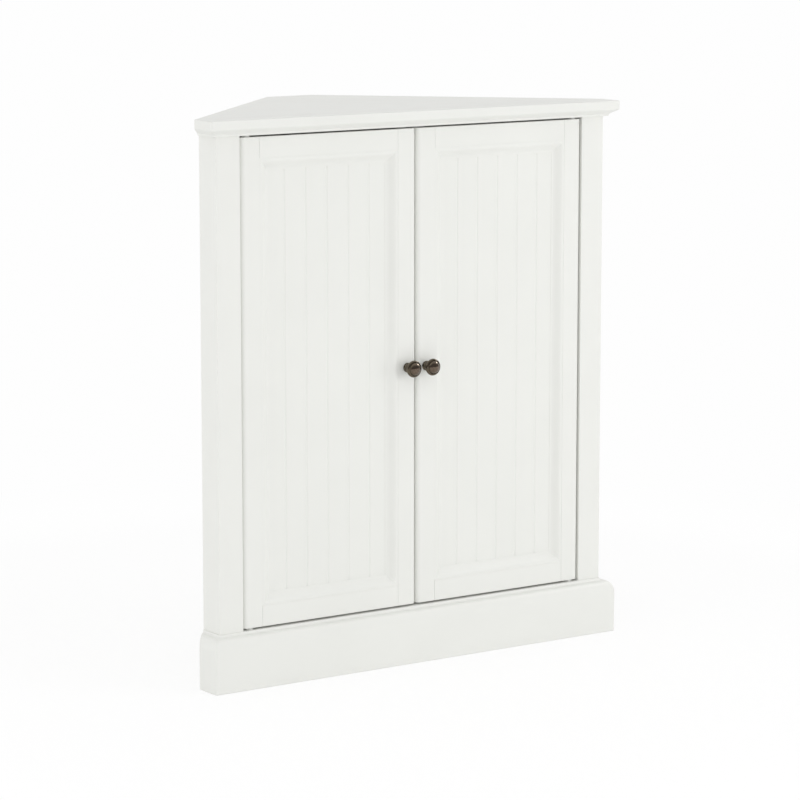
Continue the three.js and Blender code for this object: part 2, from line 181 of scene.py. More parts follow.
class Sketch:
    """Adds nodes to a tree in reading order and links them as they are named."""

    COLUMN_WIDTH = 190
    ROW_HEIGHT = 260
    ROW_LENGTH = 12

    def __init__(self, tree: bpy.types.NodeTree) -> None:
        """Starts with the nodes that the tree has."""
        self.tree = tree

    @classmethod
    def on(cls, owner: bpy.types.ID) -> "Sketch":
        """A sketch on an owner's own tree, which it empties first.

        Args:
            owner: A material or a world.

        Returns:
            The sketch.
        """
        owner.use_nodes = True
        owner.node_tree.nodes.clear()
        return cls(owner.node_tree)

    def add(
        self,
        kind: str,
        inputs: dict[str | int, Any] | None = None,
        settings: dict[str, Any] | None = None,
    ) -> bpy.types.Node:
        """Adds one node.

        Args:
            kind: The node's type.
            inputs: What feeds its inputs, by name or place.
            settings: The node's own properties, set before its inputs.

        Returns:
            The node.
        """
        place = len(self.tree.nodes)
        node = self.tree.nodes.new(kind)
        column, row = place % self.ROW_LENGTH, place // self.ROW_LENGTH
        node.location = (column * self.COLUMN_WIDTH, -row * self.ROW_HEIGHT)
        for name, value in (settings or {}).items():
            setattr(node, name, value)
        for key, value in (inputs or {}).items():
            self.feed(node.inputs[key], value)
        return node

    def feed(self, socket: bpy.types.NodeSocket, value: Any) -> None:
        """Links what varies to an input, or sets a plain value on it.

        Args:
            socket: The input.
            value: A term, a socket, a node for its first output, or a plain value.
        """
        if isinstance(value, Term):
            value = value.socket
        if isinstance(value, bpy.types.Node):
            value = value.outputs[0]
        if isinstance(value, bpy.types.NodeSocket):
            self.tree.links.new(value, socket)
        else:
            socket.default_value = value

    def term(self, value: Any) -> Term:
        """A term for what varies, or for a plain number.

        Args:
            value: A term, a socket, a node for its first output, or a number.

        Returns:
            The term.
        """
        if isinstance(value, Term):
            return value
        if isinstance(value, (int, float)):
            number = self.add("ShaderNodeValue")
            number.outputs[0].default_value = value
            value = number
        if isinstance(value, bpy.types.Node):
            value = value.outputs[0]
        return Term(self, value)

    def math(self, operation: str, *values: "Term | float") -> Term:
        """The result of one math node."""
        inputs = dict(enumerate(values))
        return self.term(self.add("ShaderNodeMath", inputs, {"operation": operation}))

    def parts(self, vector: Any) -> tuple[Term, Term, Term]:
        """The three parts of a vector."""
        node = self.add("ShaderNodeSeparateXYZ", {0: vector})
        return tuple(self.term(output) for output in node.outputs)

    def vector(self, x: Any, y: Any, z: Any) -> bpy.types.Node:
        """A vector put together from three terms or numbers."""
        return self.add("ShaderNodeCombineXYZ", {0: x, 1: y, 2: z})

    def mixed(self, share: Any, first: Any, second: Any) -> bpy.types.NodeSocket:
        """A colour between two colours."""
        inputs = {0: share, 6: first, 7: second}
        return self.add("ShaderNodeMix", inputs, {"data_type": "RGBA"}).outputs[2]

    def noise(self, vector: Any, scale: Any, detail: float = 2.0, roughness: float = 0.5) -> Term:
        """A noise between nought and one over a vector."""
        inputs = {"Vector": vector, "Scale": scale, "Detail": detail, "Roughness": roughness}
        return self.term(self.add("ShaderNodeTexNoise", inputs))

    def ramp(self, value: Term, low: float, high: float) -> Term:
        """A smooth rise.

        Args:
            value: What it follows.
            low: Where it is nought.
            high: Where it is one.

        Returns:
            The rise, between nought and one.
        """
        inputs = {"Value": value, "From Min": low, "From Max": high}
        smooth = {"interpolation_type": "SMOOTHSTEP"}
        return self.term(self.add("ShaderNodeMapRange", inputs, smooth))


class Group(Sketch):
    """A sketch of a shared node tree with named sockets, drawn by a subclass.

    A socket is given by its kind, or by its default where that is a number.
    """

    NAME = ""
    KIND = "ShaderNodeTree"
    INPUTS: dict[str, str | float] = {}
    OUTPUTS: dict[str, str | float] = {}

    def __init__(self) -> None:
        """Makes the tree, its sockets and its nodes."""
        super().__init__(bpy.data.node_groups.new(self.NAME, self.KIND))
        for sockets, way in ((self.INPUTS, "INPUT"), (self.OUTPUTS, "OUTPUT")):
            for name, given in sockets.items():
                self.add_socket(name, way, given)
        self.given = self.add("NodeGroupInput").outputs
        self.add("NodeGroupOutput", self.draw())

    def add_socket(self, name: str, way: str, given: str | float) -> None:
        """Adds one socket to the tree.

        Args:
            name: The socket's name.
            way: Whether it is an INPUT or an OUTPUT.
            given: Its kind, or its default.
        """
        plain = not isinstance(given, str)
        kind = type(given).__name__.capitalize() if plain else given
        made = self.tree.interface.new_socket(
            name=name, in_out=way, socket_type=f"NodeSocket{kind}"
        )
        if plain:
            made.default_value = given

    def draw(self) -> dict[str, Any]:
        """Adds the tree's nodes.

        Returns:
            The value of each output socket, by name.
        """
        raise NotImplementedError


# Shader groups shared by the finishes


class PaintFilm(Group):
    """Sprayed film: faint clouding of its colour, uneven sheen and the dimples of dried drops."""

    NAME = "paint_film"
    INPUTS = {
        "Vector": "Vector", "Colour": "Color", "Cloud Colour": "Color", "Cloud Scale": 9.0,
        "Roughness": 0.4, "Sheen Spread": 0.08, "Dimple Scale": 650.0, "Ripple Share": 0.4,
    }
    OUTPUTS = {"Colour": "Color", "Roughness": "Float", "Height": "Float"}
    CLOUD_RANGE = (0.35, 0.68)
    RIPPLE_RATIO = 0.16
    SHEEN_RATIO = 4.0

    def draw(self) -> dict[str, Any]:
        """Clouds, sheen and dimples from three sizes of noise.

        Returns:
            The value of each output.
        """
        vector = self.given["Vector"]
        cloud_scale = self.term(self.given["Cloud Scale"])
        dimple_scale = self.term(self.given["Dimple Scale"])
        clouds = self.ramp(self.noise(vector, cloud_scale, detail=3.0), *self.CLOUD_RANGE)
        colour = self.mixed(clouds, self.given["Colour"], self.given["Cloud Colour"])
        patches = self.noise(vector, cloud_scale * self.SHEEN_RATIO, detail=4.0) - 0.5
        roughness = patches * self.given["Sheen Spread"] + self.given["Roughness"]
        dimples = self.noise(vector, dimple_scale, detail=1.0)
        ripples = self.noise(vector, dimple_scale * self.RIPPLE_RATIO, detail=1.0)
        height = dimples + ripples * self.given["Ripple Share"]
        return {"Colour": colour, "Roughness": roughness, "Height": height}


class DustVeil(Group):
    """Fine dust that settles on what faces up and dulls its sheen."""

    NAME = "dust_veil"
    INPUTS = {
        "Vector": "Vector", "Colour": "Color", "Roughness": 0.4, "Dust Colour": "Color",
        "Amount": 0.2, "Grain Scale": 60.0,
    }
    OUTPUTS = {"Colour": "Color", "Roughness": "Float"}
    UPWARD_RANGE = (0.5, 1.0)
    PATCH_RANGE = (0.3, 0.75)
    DULLED = 0.25

    def draw(self) -> dict[str, Any]:
        """A patchy mask over the faces that look up.

        Returns:
            The value of each output.
        """
        normal = self.add("ShaderNodeNewGeometry").outputs["Normal"]
        facing_up = self.ramp(self.parts(normal)[2], *self.UPWARD_RANGE)
        scale = self.given["Grain Scale"]
        patches = self.noise(self.given["Vector"], scale, detail=5.0, roughness=0.65)
        mask = facing_up * self.ramp(patches, *self.PATCH_RANGE) * self.given["Amount"]
        colour = self.mixed(mask, self.given["Colour"], self.given["Dust Colour"])
        return {"Colour": colour, "Roughness": mask * self.DULLED + self.given["Roughness"]}


class RubbedEdges(Group):
    """Wear where hands and tools rub: broken up by noise inside a mask that the mesh carries."""

    NAME = "rubbed_edges"
    INPUTS = {
        "Vector": "Vector", "Colour": "Color", "Worn Colour": "Color", "Mask": 0.0,
        "Amount": 0.5, "Breakup Scale": 300.0,
    }
    OUTPUTS = {"Colour": "Color", "Wear": "Float"}
    SPECK_RATIO = 4.0
    SPECK_SHARE = 0.35
    BROKEN_RANGE = (0.45, 0.9)

    def draw(self) -> dict[str, Any]:
        """The mask times patches of two sizes.

        Returns:
            The value of each output.
        """
        vector = self.given["Vector"]
        scale = self.term(self.given["Breakup Scale"])
        patches = self.noise(vector, scale, detail=4.0, roughness=0.6)
        specks = self.noise(vector, scale * self.SPECK_RATIO)
        broken = self.ramp(patches + specks * self.SPECK_SHARE, *self.BROKEN_RANGE)
        wear = broken * self.given["Mask"] * self.given["Amount"]
        colour = self.mixed(wear, self.given["Colour"], self.given["Worn Colour"])
        return {"Colour": colour, "Wear": wear}


# Finishes


@dataclass
class Effects:
    """The shader groups, built once."""

    film: PaintFilm = field(default_factory=PaintFilm)
    dust: DustVeil = field(default_factory=DustVeil)
    rubbed: RubbedEdges = field(default_factory=RubbedEdges)


@dataclass(frozen=True)
class Surface:
    """A material in the making: its nodes, its shader, its own places and the shared groups."""

    sketch: Sketch
    shader: bpy.types.Node
    place: bpy.types.NodeSocket
    effects: Effects

    def take(self, values: dict[str, Any]) -> None:
        """Feeds the shader's inputs, by name."""
        for name, value in values.items():
            self.sketch.feed(self.shader.inputs[name], value)

    def spread(self, group: Group, values: dict[str, Any]) -> Any:
        """Lays a shared group over the surface with its own values, and gives its outputs."""
        inputs = {"Vector": self.place} | values
        return self.sketch.add("ShaderNodeGroup", inputs, {"node_tree": group.tree}).outputs

    def rub(self, colour: Any, worn_colour: Colour, amount: float) -> Any:
        """Rubs a colour through where the mesh is marked.

        Args:
            colour: What is rubbed.
            worn_colour: What shows through.
            amount: How much of it shows at most.

        Returns:
            The new Colour and the Wear, by name.
        """
        mask = self.sketch.add("ShaderNodeAttribute", settings={"attribute_name": Turned.RUB_NAME})
        values = {"Colour": colour, "Worn Colour": worn_colour, "Mask": mask.outputs["Fac"]}
        return self.spread(self.effects.rubbed, values | {"Amount": amount})

    def emboss(self, height: Any, depth: float) -> None:
        """Turns a height into the shader's normal."""
        inputs = {"Height": height, "Strength": 1.0, "Distance": depth}
        self.take({"Normal": self.sketch.add("ShaderNodeBump", inputs)})


@dataclass(frozen=True)
class Finish:
    """A surface finish with a material of its own."""

    name: str
    slot: Slot
    colour: Colour
    roughness: float
    bump_height: float

    def material(self, effects: Effects) -> bpy.types.Material:
        """Builds the finish's material.

        Args:
            effects: The shared shader groups.

        Returns:
            The material.
        """
        material = bpy.data.materials.new(self.name)
        material.diffuse_color = self.colour
        sketch = Sketch.on(material)
        shader = sketch.add("ShaderNodeBsdfPrincipled")
        place = sketch.add("ShaderNodeTexCoord").outputs["Object"]
        self.dress(Surface(sketch, shader, place, effects))
        sketch.add("ShaderNodeOutputMaterial", {"Surface": shader})
        return material

    def dress(self, surface: Surface) -> None:
        """Feeds the shader. Each kind of finish has its own way."""
        raise NotImplementedError


@dataclass(frozen=True)
class SatinPaint(Finish):
    """Satin paint sprayed on board, with a little dust on what faces up."""

    cloud_colour: Colour = (0.836, 0.841, 0.806, 1)
    dust_colour: Colour = (0.62, 0.60, 0.57, 1)
    dust_amount: float = 0.05
    ripple_share: float = 0.4

    def dress(self, surface: Surface) -> None:
        """Film, then dust.

        Args:
            surface: The surface in the making.
        """
        values = {
            "Colour": self.colour,
            "Cloud Colour": self.cloud_colour,
            "Roughness": self.roughness,
            "Ripple Share": self.ripple_share,
        }
        film = surface.spread(surface.effects.film, values)
        values = {
            "Colour": film["Colour"],
            "Roughness": film["Roughness"],
            "Dust Colour": self.dust_colour,
            "Amount": self.dust_amount,
        }
        dust = surface.spread(surface.effects.dust, values)
        surface.take({"Base Color": dust["Colour"], "Roughness": dust["Roughness"]})
        surface.emboss(film["Height"], self.bump_height)


@dataclass(frozen=True)
class MouldedPlastic(Finish):
    """Moulded plastic with a fine spark-eroded texture."""

    texture_scale: float = 1400.0
    cloud_colour: Colour = (0.84, 0.84, 0.82, 1)
    cloud_scale: float = 40.0
    specular: float = 0.45

    def dress(self, surface: Surface) -> None:
        """The film's dimples at a finer scale.

        Args:
            surface: The surface in the making.
        """
        values = {
            "Colour": self.colour,
            "Cloud Colour": self.cloud_colour,
            "Cloud Scale": self.cloud_scale,
            "Roughness": self.roughness,
            "Dimple Scale": self.texture_scale,
            "Ripple Share": 0.0,
        }
        film = surface.spread(surface.effects.film, values)
        surface.take({"Base Color": film["Colour"], "Roughness": film["Roughness"]})
        surface.take({"Specular IOR Level": self.specular})
        surface.emboss(film["Height"], self.bump_height)


@dataclass(frozen=True)
class OilRubbedBronze(Finish):
    """Dark patina over bronze, rubbed through to a warm brown where hands touch it."""

    worn_colour: Colour = (0.24, 0.155, 0.12, 1)
    patina_colour: Colour = (0.073, 0.058, 0.034, 1)
    patina_scale: float = 220.0
    patina_range: Point2 = (0.3, 0.7)
    pit_scale: float = 900.0
    wear_amount: float = 0.75
    polish: float = 0.08
    coat_weight: float = 0.7
    coat_roughness: float = 0.08

    def dress(self, surface: Surface) -> None:
        """Patina, rubbed edges, then a lacquer coat.

        Args:
            surface: The surface in the making.
        """
        sketch = surface.sketch
        patches = sketch.noise(surface.place, self.patina_scale, detail=4.0)
        clouds = sketch.ramp(patches, *self.patina_range)
        patina = sketch.mixed(clouds, self.colour, self.patina_colour)
        rubbed = surface.rub(patina, self.worn_colour, self.wear_amount)
        roughness = self.roughness - sketch.term(rubbed["Wear"]) * self.polish
        surface.take({"Metallic": 1.0, "Base Color": rubbed["Colour"], "Roughness": roughness})
        surface.take({"Coat Weight": self.coat_weight, "Coat Roughness": self.coat_roughness})
        surface.emboss(sketch.noise(surface.place, self.pit_scale), self.bump_height)


@dataclass(frozen=True)
class ZincSteel(Finish):
    """Zinc-plated steel with the marks of its making and worn arrises."""

    worn_colour: Colour = (0.72, 0.72, 0.72, 1)
    shade_colour: Colour = (0.42, 0.43, 0.45, 1)
    spangle_scale: float = 500.0
    spangle_range: Point2 = (0.35, 0.65)
    spangle_dulling: float = 0.12
    wear_amount: float = 0.6
    line_scale: float = 2500.0
    line_stretch: float = 0.2

    def dress(self, surface: Surface) -> None:
        """Mottled plating, wear and fine lines.

        Args:
            surface: The surface in the making.
        """
        sketch = surface.sketch
        patches = sketch.noise(surface.place, self.spangle_scale, detail=3.0)
        spangle = sketch.ramp(patches, *self.spangle_range)
        plating = sketch.mixed(spangle, self.colour, self.shade_colour)
        rubbed = surface.rub(plating, self.worn_colour, self.wear_amount)
        x, y, z = sketch.parts(surface.place)
        stretched = sketch.vector(x * self.line_stretch, y, z)
        lines = sketch.noise(stretched, self.line_scale, detail=1.0)
        roughness = spangle * self.spangle_dulling + self.roughness
        surface.take({"Metallic": 1.0, "Base Color": rubbed["Colour"], "Roughness": roughness})
        surface.emboss(lines, self.bump_height)


class FinishSet:
    """Every finish of the cupboard, with its material."""

    def __init__(self) -> None:
        """Builds the shared effects, then the materials."""
        self.case_paint = SatinPaint(
            "case_paint", Slot.PAINT, (0.847, 0.852, 0.817, 1),
            roughness=0.42, bump_height=0.02 * MM,
        )
        self.board_paint = SatinPaint(
            "grooved_board_paint", Slot.PANEL_PAINT, (0.845, 0.850, 0.815, 1),
            roughness=0.46, bump_height=0.025 * MM, ripple_share=0.7,
        )
        self.plastic = MouldedPlastic(
            "moulded_plastic", Slot.PLASTIC, (0.86, 0.86, 0.835, 1),
            roughness=0.38, bump_height=0.01 * MM,
        )
        self.bronze = OilRubbedBronze(
            "oil_rubbed_bronze", Slot.BRONZE, (0.112, 0.088, 0.055, 1),
            roughness=0.2, bump_height=0.012 * MM,
        )
        self.steel = ZincSteel(
            "zinc_steel", Slot.STEEL, (0.60, 0.60, 0.61, 1), roughness=0.3, bump_height=0.01 * MM
        )
        finishes = (self.case_paint, self.board_paint, self.plastic, self.bronze, self.steel)
        effects = Effects()
        self.materials = {finish.name: finish.material(effects) for finish in finishes}

    def of(self, finish: Finish) -> bpy.types.Material:
        """The material of one finish."""
        return self.materials[finish.name]


# Mesh work


def between(start: Point2, end: Point2, across: float, along: float) -> Point2:
    """The point at one share of the way on the first axis and at another on the second."""
    return (start[0] + (end[0] - start[0]) * across, start[1] + (end[1] - start[1]) * along)


def quarter(start: Point2, end: Point2, steps: int, level_first: bool) -> list[Point2]:
    """Points of a quarter ellipse.

    Args:
        start: First point.
        end: Last point.
        steps: Number of stretches.
        level_first: Whether the first stretch runs along the first axis.

    Returns:
        The points, both ends included.
    """
    points = []
    for i in range(steps + 1):
        turn = i / steps * math.pi / 2
        fast, slow = math.sin(turn), 1 - math.cos(turn)
        across, along = (fast, slow) if level_first else (slow, fast)
        points.append(between(start, end, across, along))
    return points


def soft_s(start: Point2, end: Point2, steps: int, upright: bool = False) -> list[Point2]:
    """Points of a soft S.

    Args:
        start: First point.
        end: Last point.
        steps: Number of stretches.
        upright: Whether its ends are upright and its middle the most level, instead of the
            reverse.

    Returns:
        The points, both ends included.
    """
    points = []
    for i in range(steps + 1):
        share = i / steps
        eased = (1 - math.cos(share * math.pi)) / 2
        across, along = (eased, share) if upright else (share, eased)
        points.append(between(start, end, across, along))
    return points


def rounded_outline(corners: Sequence[Point3], steps: int) -> list[Point2]:
    """An outline whose corners are rounded.

    Args:
        corners: Each corner's place and radius, anticlockwise.
        steps: Stretches in each rounded corner.

    Returns:
        The outline's points, as many for a radius of nought as for any other.
    """
    points = []
    count = len(corners)
    for i, (x, y, radius) in enumerate(corners):
        here = Vector((x, y))
        before = (Vector(corners[i - 1][:2]) - here).normalized()
        after = (Vector(corners[(i + 1) % count][:2]) - here).normalized()
        opening = before.angle(after)
        reach = radius / math.tan(opening / 2)
        centre = here + (before + after).normalized() * radius / math.sin(opening / 2)
        first = here + before * reach
        for step in range(steps + 1):
            turn = Matrix.Rotation((math.pi - opening) * step / steps, 2)
            points.append(tuple(centre + turn @ (first - centre)))
    return points


def in_scene(name: str, data: bpy.types.ID) -> bpy.types.Object:
    """A new object, linked to the scene.

    Args:
        name: The object's name.
        data: Its mesh, light or camera.

    Returns:
        The object.
    """
    made = bpy.data.objects.new(name, data)
    bpy.context.scene.collection.objects.link(made)
    return made


def written(form: bmesh.types.BMesh, mesh: bpy.types.Mesh) -> bpy.types.Mesh:
    """Writes a form into a mesh and lets the form go.

    Args:
        form: The form.
        mesh: The mesh that it fills.

    Returns:
        The mesh.
    """
    form.to_mesh(mesh)
    form.free()
    return mesh


def creased(mesh: bpy.types.Mesh) -> bpy.types.Mesh:
    """Shades a mesh smooth, its creases kept sharp.

    Args:
        mesh: The mesh, which is changed in place.

    Returns:
        The same mesh.
    """
    mesh.shade_smooth()
    mesh.set_sharp_from_angle(angle=CREASE_ANGLE)
    return mesh


def outward(mesh: bpy.types.Mesh) -> bpy.types.Mesh:
    """Merges a mesh's doubles and turns its faces outwards.

    Args:
        mesh: The mesh, which is changed in place.

    Returns:
        The same mesh.
    """
    form = bmesh.new()
    form.from_mesh(mesh)
    bmesh.ops.remove_doubles(form, verts=form.verts, dist=WELD)
    bmesh.ops.recalc_face_normals(form, faces=form.faces)
    return written(form, mesh)


def skin(form: bmesh.types.BMesh, rows: Sequence[Sequence[bmesh.types.BMVert]]) -> None:
    """Spans faces from row to row around a shape.

    Args:
        form: The form that the points are in.
        rows: Rows of equally many points, or of a single one where they all meet.
    """
    count = max(len(row) for row in rows)
    for lower, upper in zip(rows, rows[1:]):
        for i in range(count):
            j = (i + 1) % count
            ring = [lower[i % len(lower)], lower[j % len(lower)]]
            ring += [upper[j % len(upper)], upper[i % len(upper)]]
            corners = list(dict.fromkeys(ring))
            if len(corners) > 2:
                form.faces.new(corners)


def loft(name: str, rings: Sequence[Sequence[Point3]]) -> bpy.types.Mesh:
    """A closed mesh through rings.

    Args:
        name: The mesh's name.
        rings: Rings of equally many points, from the lowest to the highest.

    Returns:
        The mesh.
    """
    form = bmesh.new()
    rows = [[form.verts.new(point) for point in ring] for ring in rings]
    skin(form, rows)
    form.faces.new(list(reversed(rows[0])))
    form.faces.new(rows[-1])
    return outward(written(form, bpy.data.meshes.new(name)))


def stood(mesh: bpy.types.Mesh, base: Vector, axis: Vector) -> bpy.types.Mesh:
    """Stands a mesh in its place and shades it.

    Args:
        mesh: The mesh, which is changed in place.
        base: Where its origin goes.
        axis: The way that its third axis turns to.

    Returns:
        The same mesh.
    """
    turn = UP.rotation_difference(axis).to_matrix().to_4x4()
    mesh.transform(Matrix.Translation(base) @ turn)
    return creased(mesh)


def outline_mesh(name: str, outline: Sequence[Point2]) -> bpy.types.Mesh:
    """A closed line of edges.

    Args:
        name: The mesh's name.
        outline: Its points, in the plane of the first two axes.

    Returns:
        The mesh.
    """
    mesh = bpy.data.meshes.new(name)
    count = len(outline)
    edges = [(i, (i + 1) % count) for i in range(count)]
    mesh.from_pydata([(x, y, 0) for x, y in outline], edges, [])
    return mesh


def marks_mesh(name: str, places: Sequence[Vector], facings: Sequence[Vector]) -> bpy.types.Mesh:
    """Loose points that something is set out on.

    Args:
        name: The mesh's name.
        places: The points.
        facings: The way that what is set on each of them faces.

    Returns:
        The mesh.
    """
    mesh = bpy.data.meshes.new(name)
    mesh.from_pydata([tuple(place) for place in places], [], [])
    attribute = mesh.attributes.new(SetOut.FACING_NAME, "FLOAT_VECTOR", "POINT")
    for item, facing in zip(attribute.data, facings):
        item.vector = facing
    return mesh


def evaluated(name: str, mesh: bpy.types.Mesh, setters: Sequence["Modifying"]) -> bpy.types.Mesh:
    """A plain mesh after modifiers.

    Args:
        name: The new mesh's name.
        mesh: What the modifiers work on. It isn't kept.
        setters: Each adds one modifier, in order.

    Returns:
        The finished mesh, which no modifier hangs on.
    """
    carrier = in_scene(f"{name}_carrier", mesh)
    helpers = [helper for setter in setters for helper in setter.add_to(carrier)]
    graph = bpy.context.evaluated_depsgraph_get()
    made = bpy.data.meshes.new_from_object(
        carrier.evaluated_get(graph), preserve_all_data_layers=True, depsgraph=graph
    )
    carrier.modifiers.clear()
    for spent in (carrier, *helpers):
        spent_mesh = spent.data
        bpy.data.objects.remove(spent)
        bpy.data.meshes.remove(spent_mesh)
    made.name = name
    return made


class Modifying:
    """Something that adds a modifier to an object."""

    def add_to(self, carrier: bpy.types.Object) -> list[bpy.types.Object]:
        """Adds the modifier.

        Args:
            carrier: The object.

        Returns:
            The objects that the modifier needs until it has run.
        """
        raise NotImplementedError


@dataclass(frozen=True)
class Easing(Modifying):
    """Rounds every arris sharper than the crease angle."""

    width: float
    segments: int = 3

    def add_to(self, carrier: bpy.types.Object) -> list[bpy.types.Object]:
        """Adds a bevel.

        Args:
            carrier: The object.

        Returns:
            No objects.
        """
        bevel = carrier.modifiers.new("easing", "BEVEL")
        bevel.width = self.width
        bevel.segments = self.segments
        bevel.limit_method = "ANGLE"
        bevel.angle_limit = CREASE_ANGLE
        return []


@dataclass(frozen=True)
class FlatFaces(Modifying):
    """Keeps wide faces flat in shading and lets small ones blend into them."""

    weight: int = 90

    def add_to(self, carrier: bpy.types.Object) -> list[bpy.types.Object]:
        """Adds weighted normals.

        Args:
            carrier: The object.

        Returns:
            No objects.
        """
        normals = carrier.modifiers.new("flat_faces", "WEIGHTED_NORMAL")
        normals.keep_sharp = True
        normals.weight = self.weight
        return []


@dataclass(frozen=True)
class Recess(Modifying):
    """A cross recess cut into a screw's head."""

    radius: float
    height: float
    arm_share: float = 0.62
    width_share: float = 0.17
    depth_share: float = 0.6

    def add_to(self, carrier: bpy.types.Object) -> list[bpy.types.Object]:
        """Cuts the cross with one solid of two crossed bars.

        Args:
            carrier: The object.

        Returns:
            The solid.
        """
        arm, half = self.radius * self.arm_share, self.radius * self.width_share
        floor = self.height * (1 - self.depth_share)
        outline = [
            (arm, -half), (arm, half), (half, half), (half, arm),
            (-half, arm), (-half, half), (-arm, half), (-arm, -half),
            (-half, -half), (-half, -arm), (half, -arm), (half, -half),
        ]
        rings = [[(x, y, z) for x, y in outline] for z in (floor, self.height * 2)]
        cutter = in_scene("recess_cutter", loft("recess_cutter", rings))
        recess = carrier.modifiers.new("recess", "BOOLEAN")
        recess.operation = "DIFFERENCE"
        recess.solver = "EXACT"
        recess.object = cutter
        return [cutter]


@dataclass(frozen=True)
class Growing(Modifying):
    """Runs a geometry node tree with its own sizes."""

    group: Group
    values: dict[str, Any]

    def add_to(self, carrier: bpy.types.Object) -> list[bpy.types.Object]:
        """Adds the tree and sets its inputs by their identifiers.

        Args:
            carrier: The object.

        Returns:
            No objects.
        """
        modifier = carrier.modifiers.new(self.group.NAME, "NODES")
        modifier.node_group = self.group.tree
        for item in self.group.tree.interface.items_tree:
            if item.in_out == "INPUT" and item.name in self.values:
                modifier[item.identifier] = self.values[item.name]
        return []


def eased_node(node: str, width: float, film: float = 0.0) -> bpy.types.Mesh:
    """A CAD node's shape as one merged mesh with eased arrises.

    Args:
        node: The CAD node's name.
        width: How far the easing reaches.
        film: Thickness of the paint that thickens a board on every side and narrows its seams.
            It is kept off the floor and the walls.

    Returns:
        The mesh.
    """
    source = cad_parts[node].data
    mesh = bpy.data.meshes.new(node)
    corners = [vertex.co for vertex in source.vertices]
    mesh.from_pydata(corners, [], [tuple(polygon.vertices) for polygon in source.polygons])
    form = bmesh.new()
    form.from_mesh(mesh)
    bmesh.ops.remove_doubles(form, verts=form.verts, dist=WELD)
    bmesh.ops.dissolve_limit(form, angle_limit=FLAT_ANGLE, verts=form.verts, edges=form.edges)
    if film:
        form.normal_update()
        for vertex in form.verts:
            # A square corner's normal is this much longer than its share along each axis
            vertex.co += vertex.normal * (film * math.sqrt(3))
            vertex.co.y = min(vertex.co.y, CAD_BOX[1][1])
            vertex.co.z = max(vertex.co.z, CAD_BOX[0][2])
    written(form, mesh).shade_smooth()
    return evaluated(f"{node}_eased", mesh, (Easing(width), FlatFaces()))


@dataclass(frozen=True)
class Turned:
    """A turned shape: a profile of radius and height, with its rubbed places marked."""

    RUB_NAME = "rub"

    profile: Sequence[Point2]
    rubs: Sequence[float]
    segments: int

    @classmethod
    def unrubbed(cls, profile: Sequence[Point2], segments: int) -> "Turned":
        """A turned shape that nothing rubs."""
        return cls(profile, [0.0] * len(profile), segments)

    def mesh(self, name: str, base: Vector, axis: Vector) -> bpy.types.Mesh:
        """The turned mesh.

        Args:
            name: The mesh's name.
            base: Where the profile's height is nought.
            axis: The way that the height grows.

        Returns:
            A closed mesh that carries its rub mask.
        """
        form = bmesh.new()
        layer = form.verts.layers.float.new(self.RUB_NAME)
        rows = []
        for (radius, height), rub in zip(self.profile, self.rubs):
            row = []
            for i in range(self.segments if radius > WELD else 1):
                turn = 2 * math.pi * i / self.segments
                point = (radius * math.cos(turn), radius * math.sin(turn), height)
                vertex = form.verts.new(point)
                vertex[layer] = rub
                row.append(vertex)
            rows.append(row)
        skin(form, rows)
        bmesh.ops.recalc_face_normals(form, faces=form.faces)
        return stood(written(form, bpy.data.meshes.new(name)), base, axis)


@dataclass(frozen=True)
class Screw:
    """A domed screw with a cross recess, its head towards the third axis."""

    HEAD_RUB = 0.8
    SHANK_SHARE = 0.45

    radius: float
    height: float
    shank_radius: float
    shank_length: float
    seat: float = 0.0
    steps: int = 6
    segments: int = 24

    @classmethod
    def stub(cls, radius: float, height: float, shank_length: float) -> "Screw":
        """A small screw with a stub of its shank."""
        return cls(radius, height, radius * cls.SHANK_SHARE, shank_length)

    def mesh(self, name: str) -> bpy.types.Mesh:
        """The screw's mesh.

        Args:
            name: The mesh's name.

        Returns:
            A closed mesh, what the screw goes into ending at height nought.
        """
        top = self.seat + self.height
        shank = [
            (0.0, -self.shank_length),
            (self.shank_radius, -self.shank_length),
            (self.shank_radius, self.seat),
            (self.radius, self.seat),
        ]
        brim = (self.radius, self.seat + self.height / 3)
        dome = quarter(brim, (0.0, top), self.steps, level_first=False)
        rubs = [0.0] * len(shank) + [self.HEAD_RUB] * len(dome)
        mesh = Turned(shank + dome, rubs, self.segments).mesh(name, Vector(), UP)
        return evaluated(name, mesh, (Recess(self.radius, top),))


# Geometry node trees for runs, boarding and what is set out in numbers


class GeometryGroup(Group):
    """A geometry tree that ends in real geometry with its finish."""

    KIND = "GeometryNodeTree"
    OUTPUTS = {"Geometry": "Geometry"}

    def finished(self, geometry: Any) -> dict[str, Any]:
        """Makes what is grown real and gives it its finish.

        Args:
            geometry: What is grown.

        Returns:
            The value of the tree's output.
        """
        real = self.add("GeometryNodeRealizeInstances", {"Geometry": geometry})
        inputs = {"Geometry": real, "Material": self.given["Finish"]}
        return {"Geometry": self.add("GeometryNodeSetMaterial", inputs)}


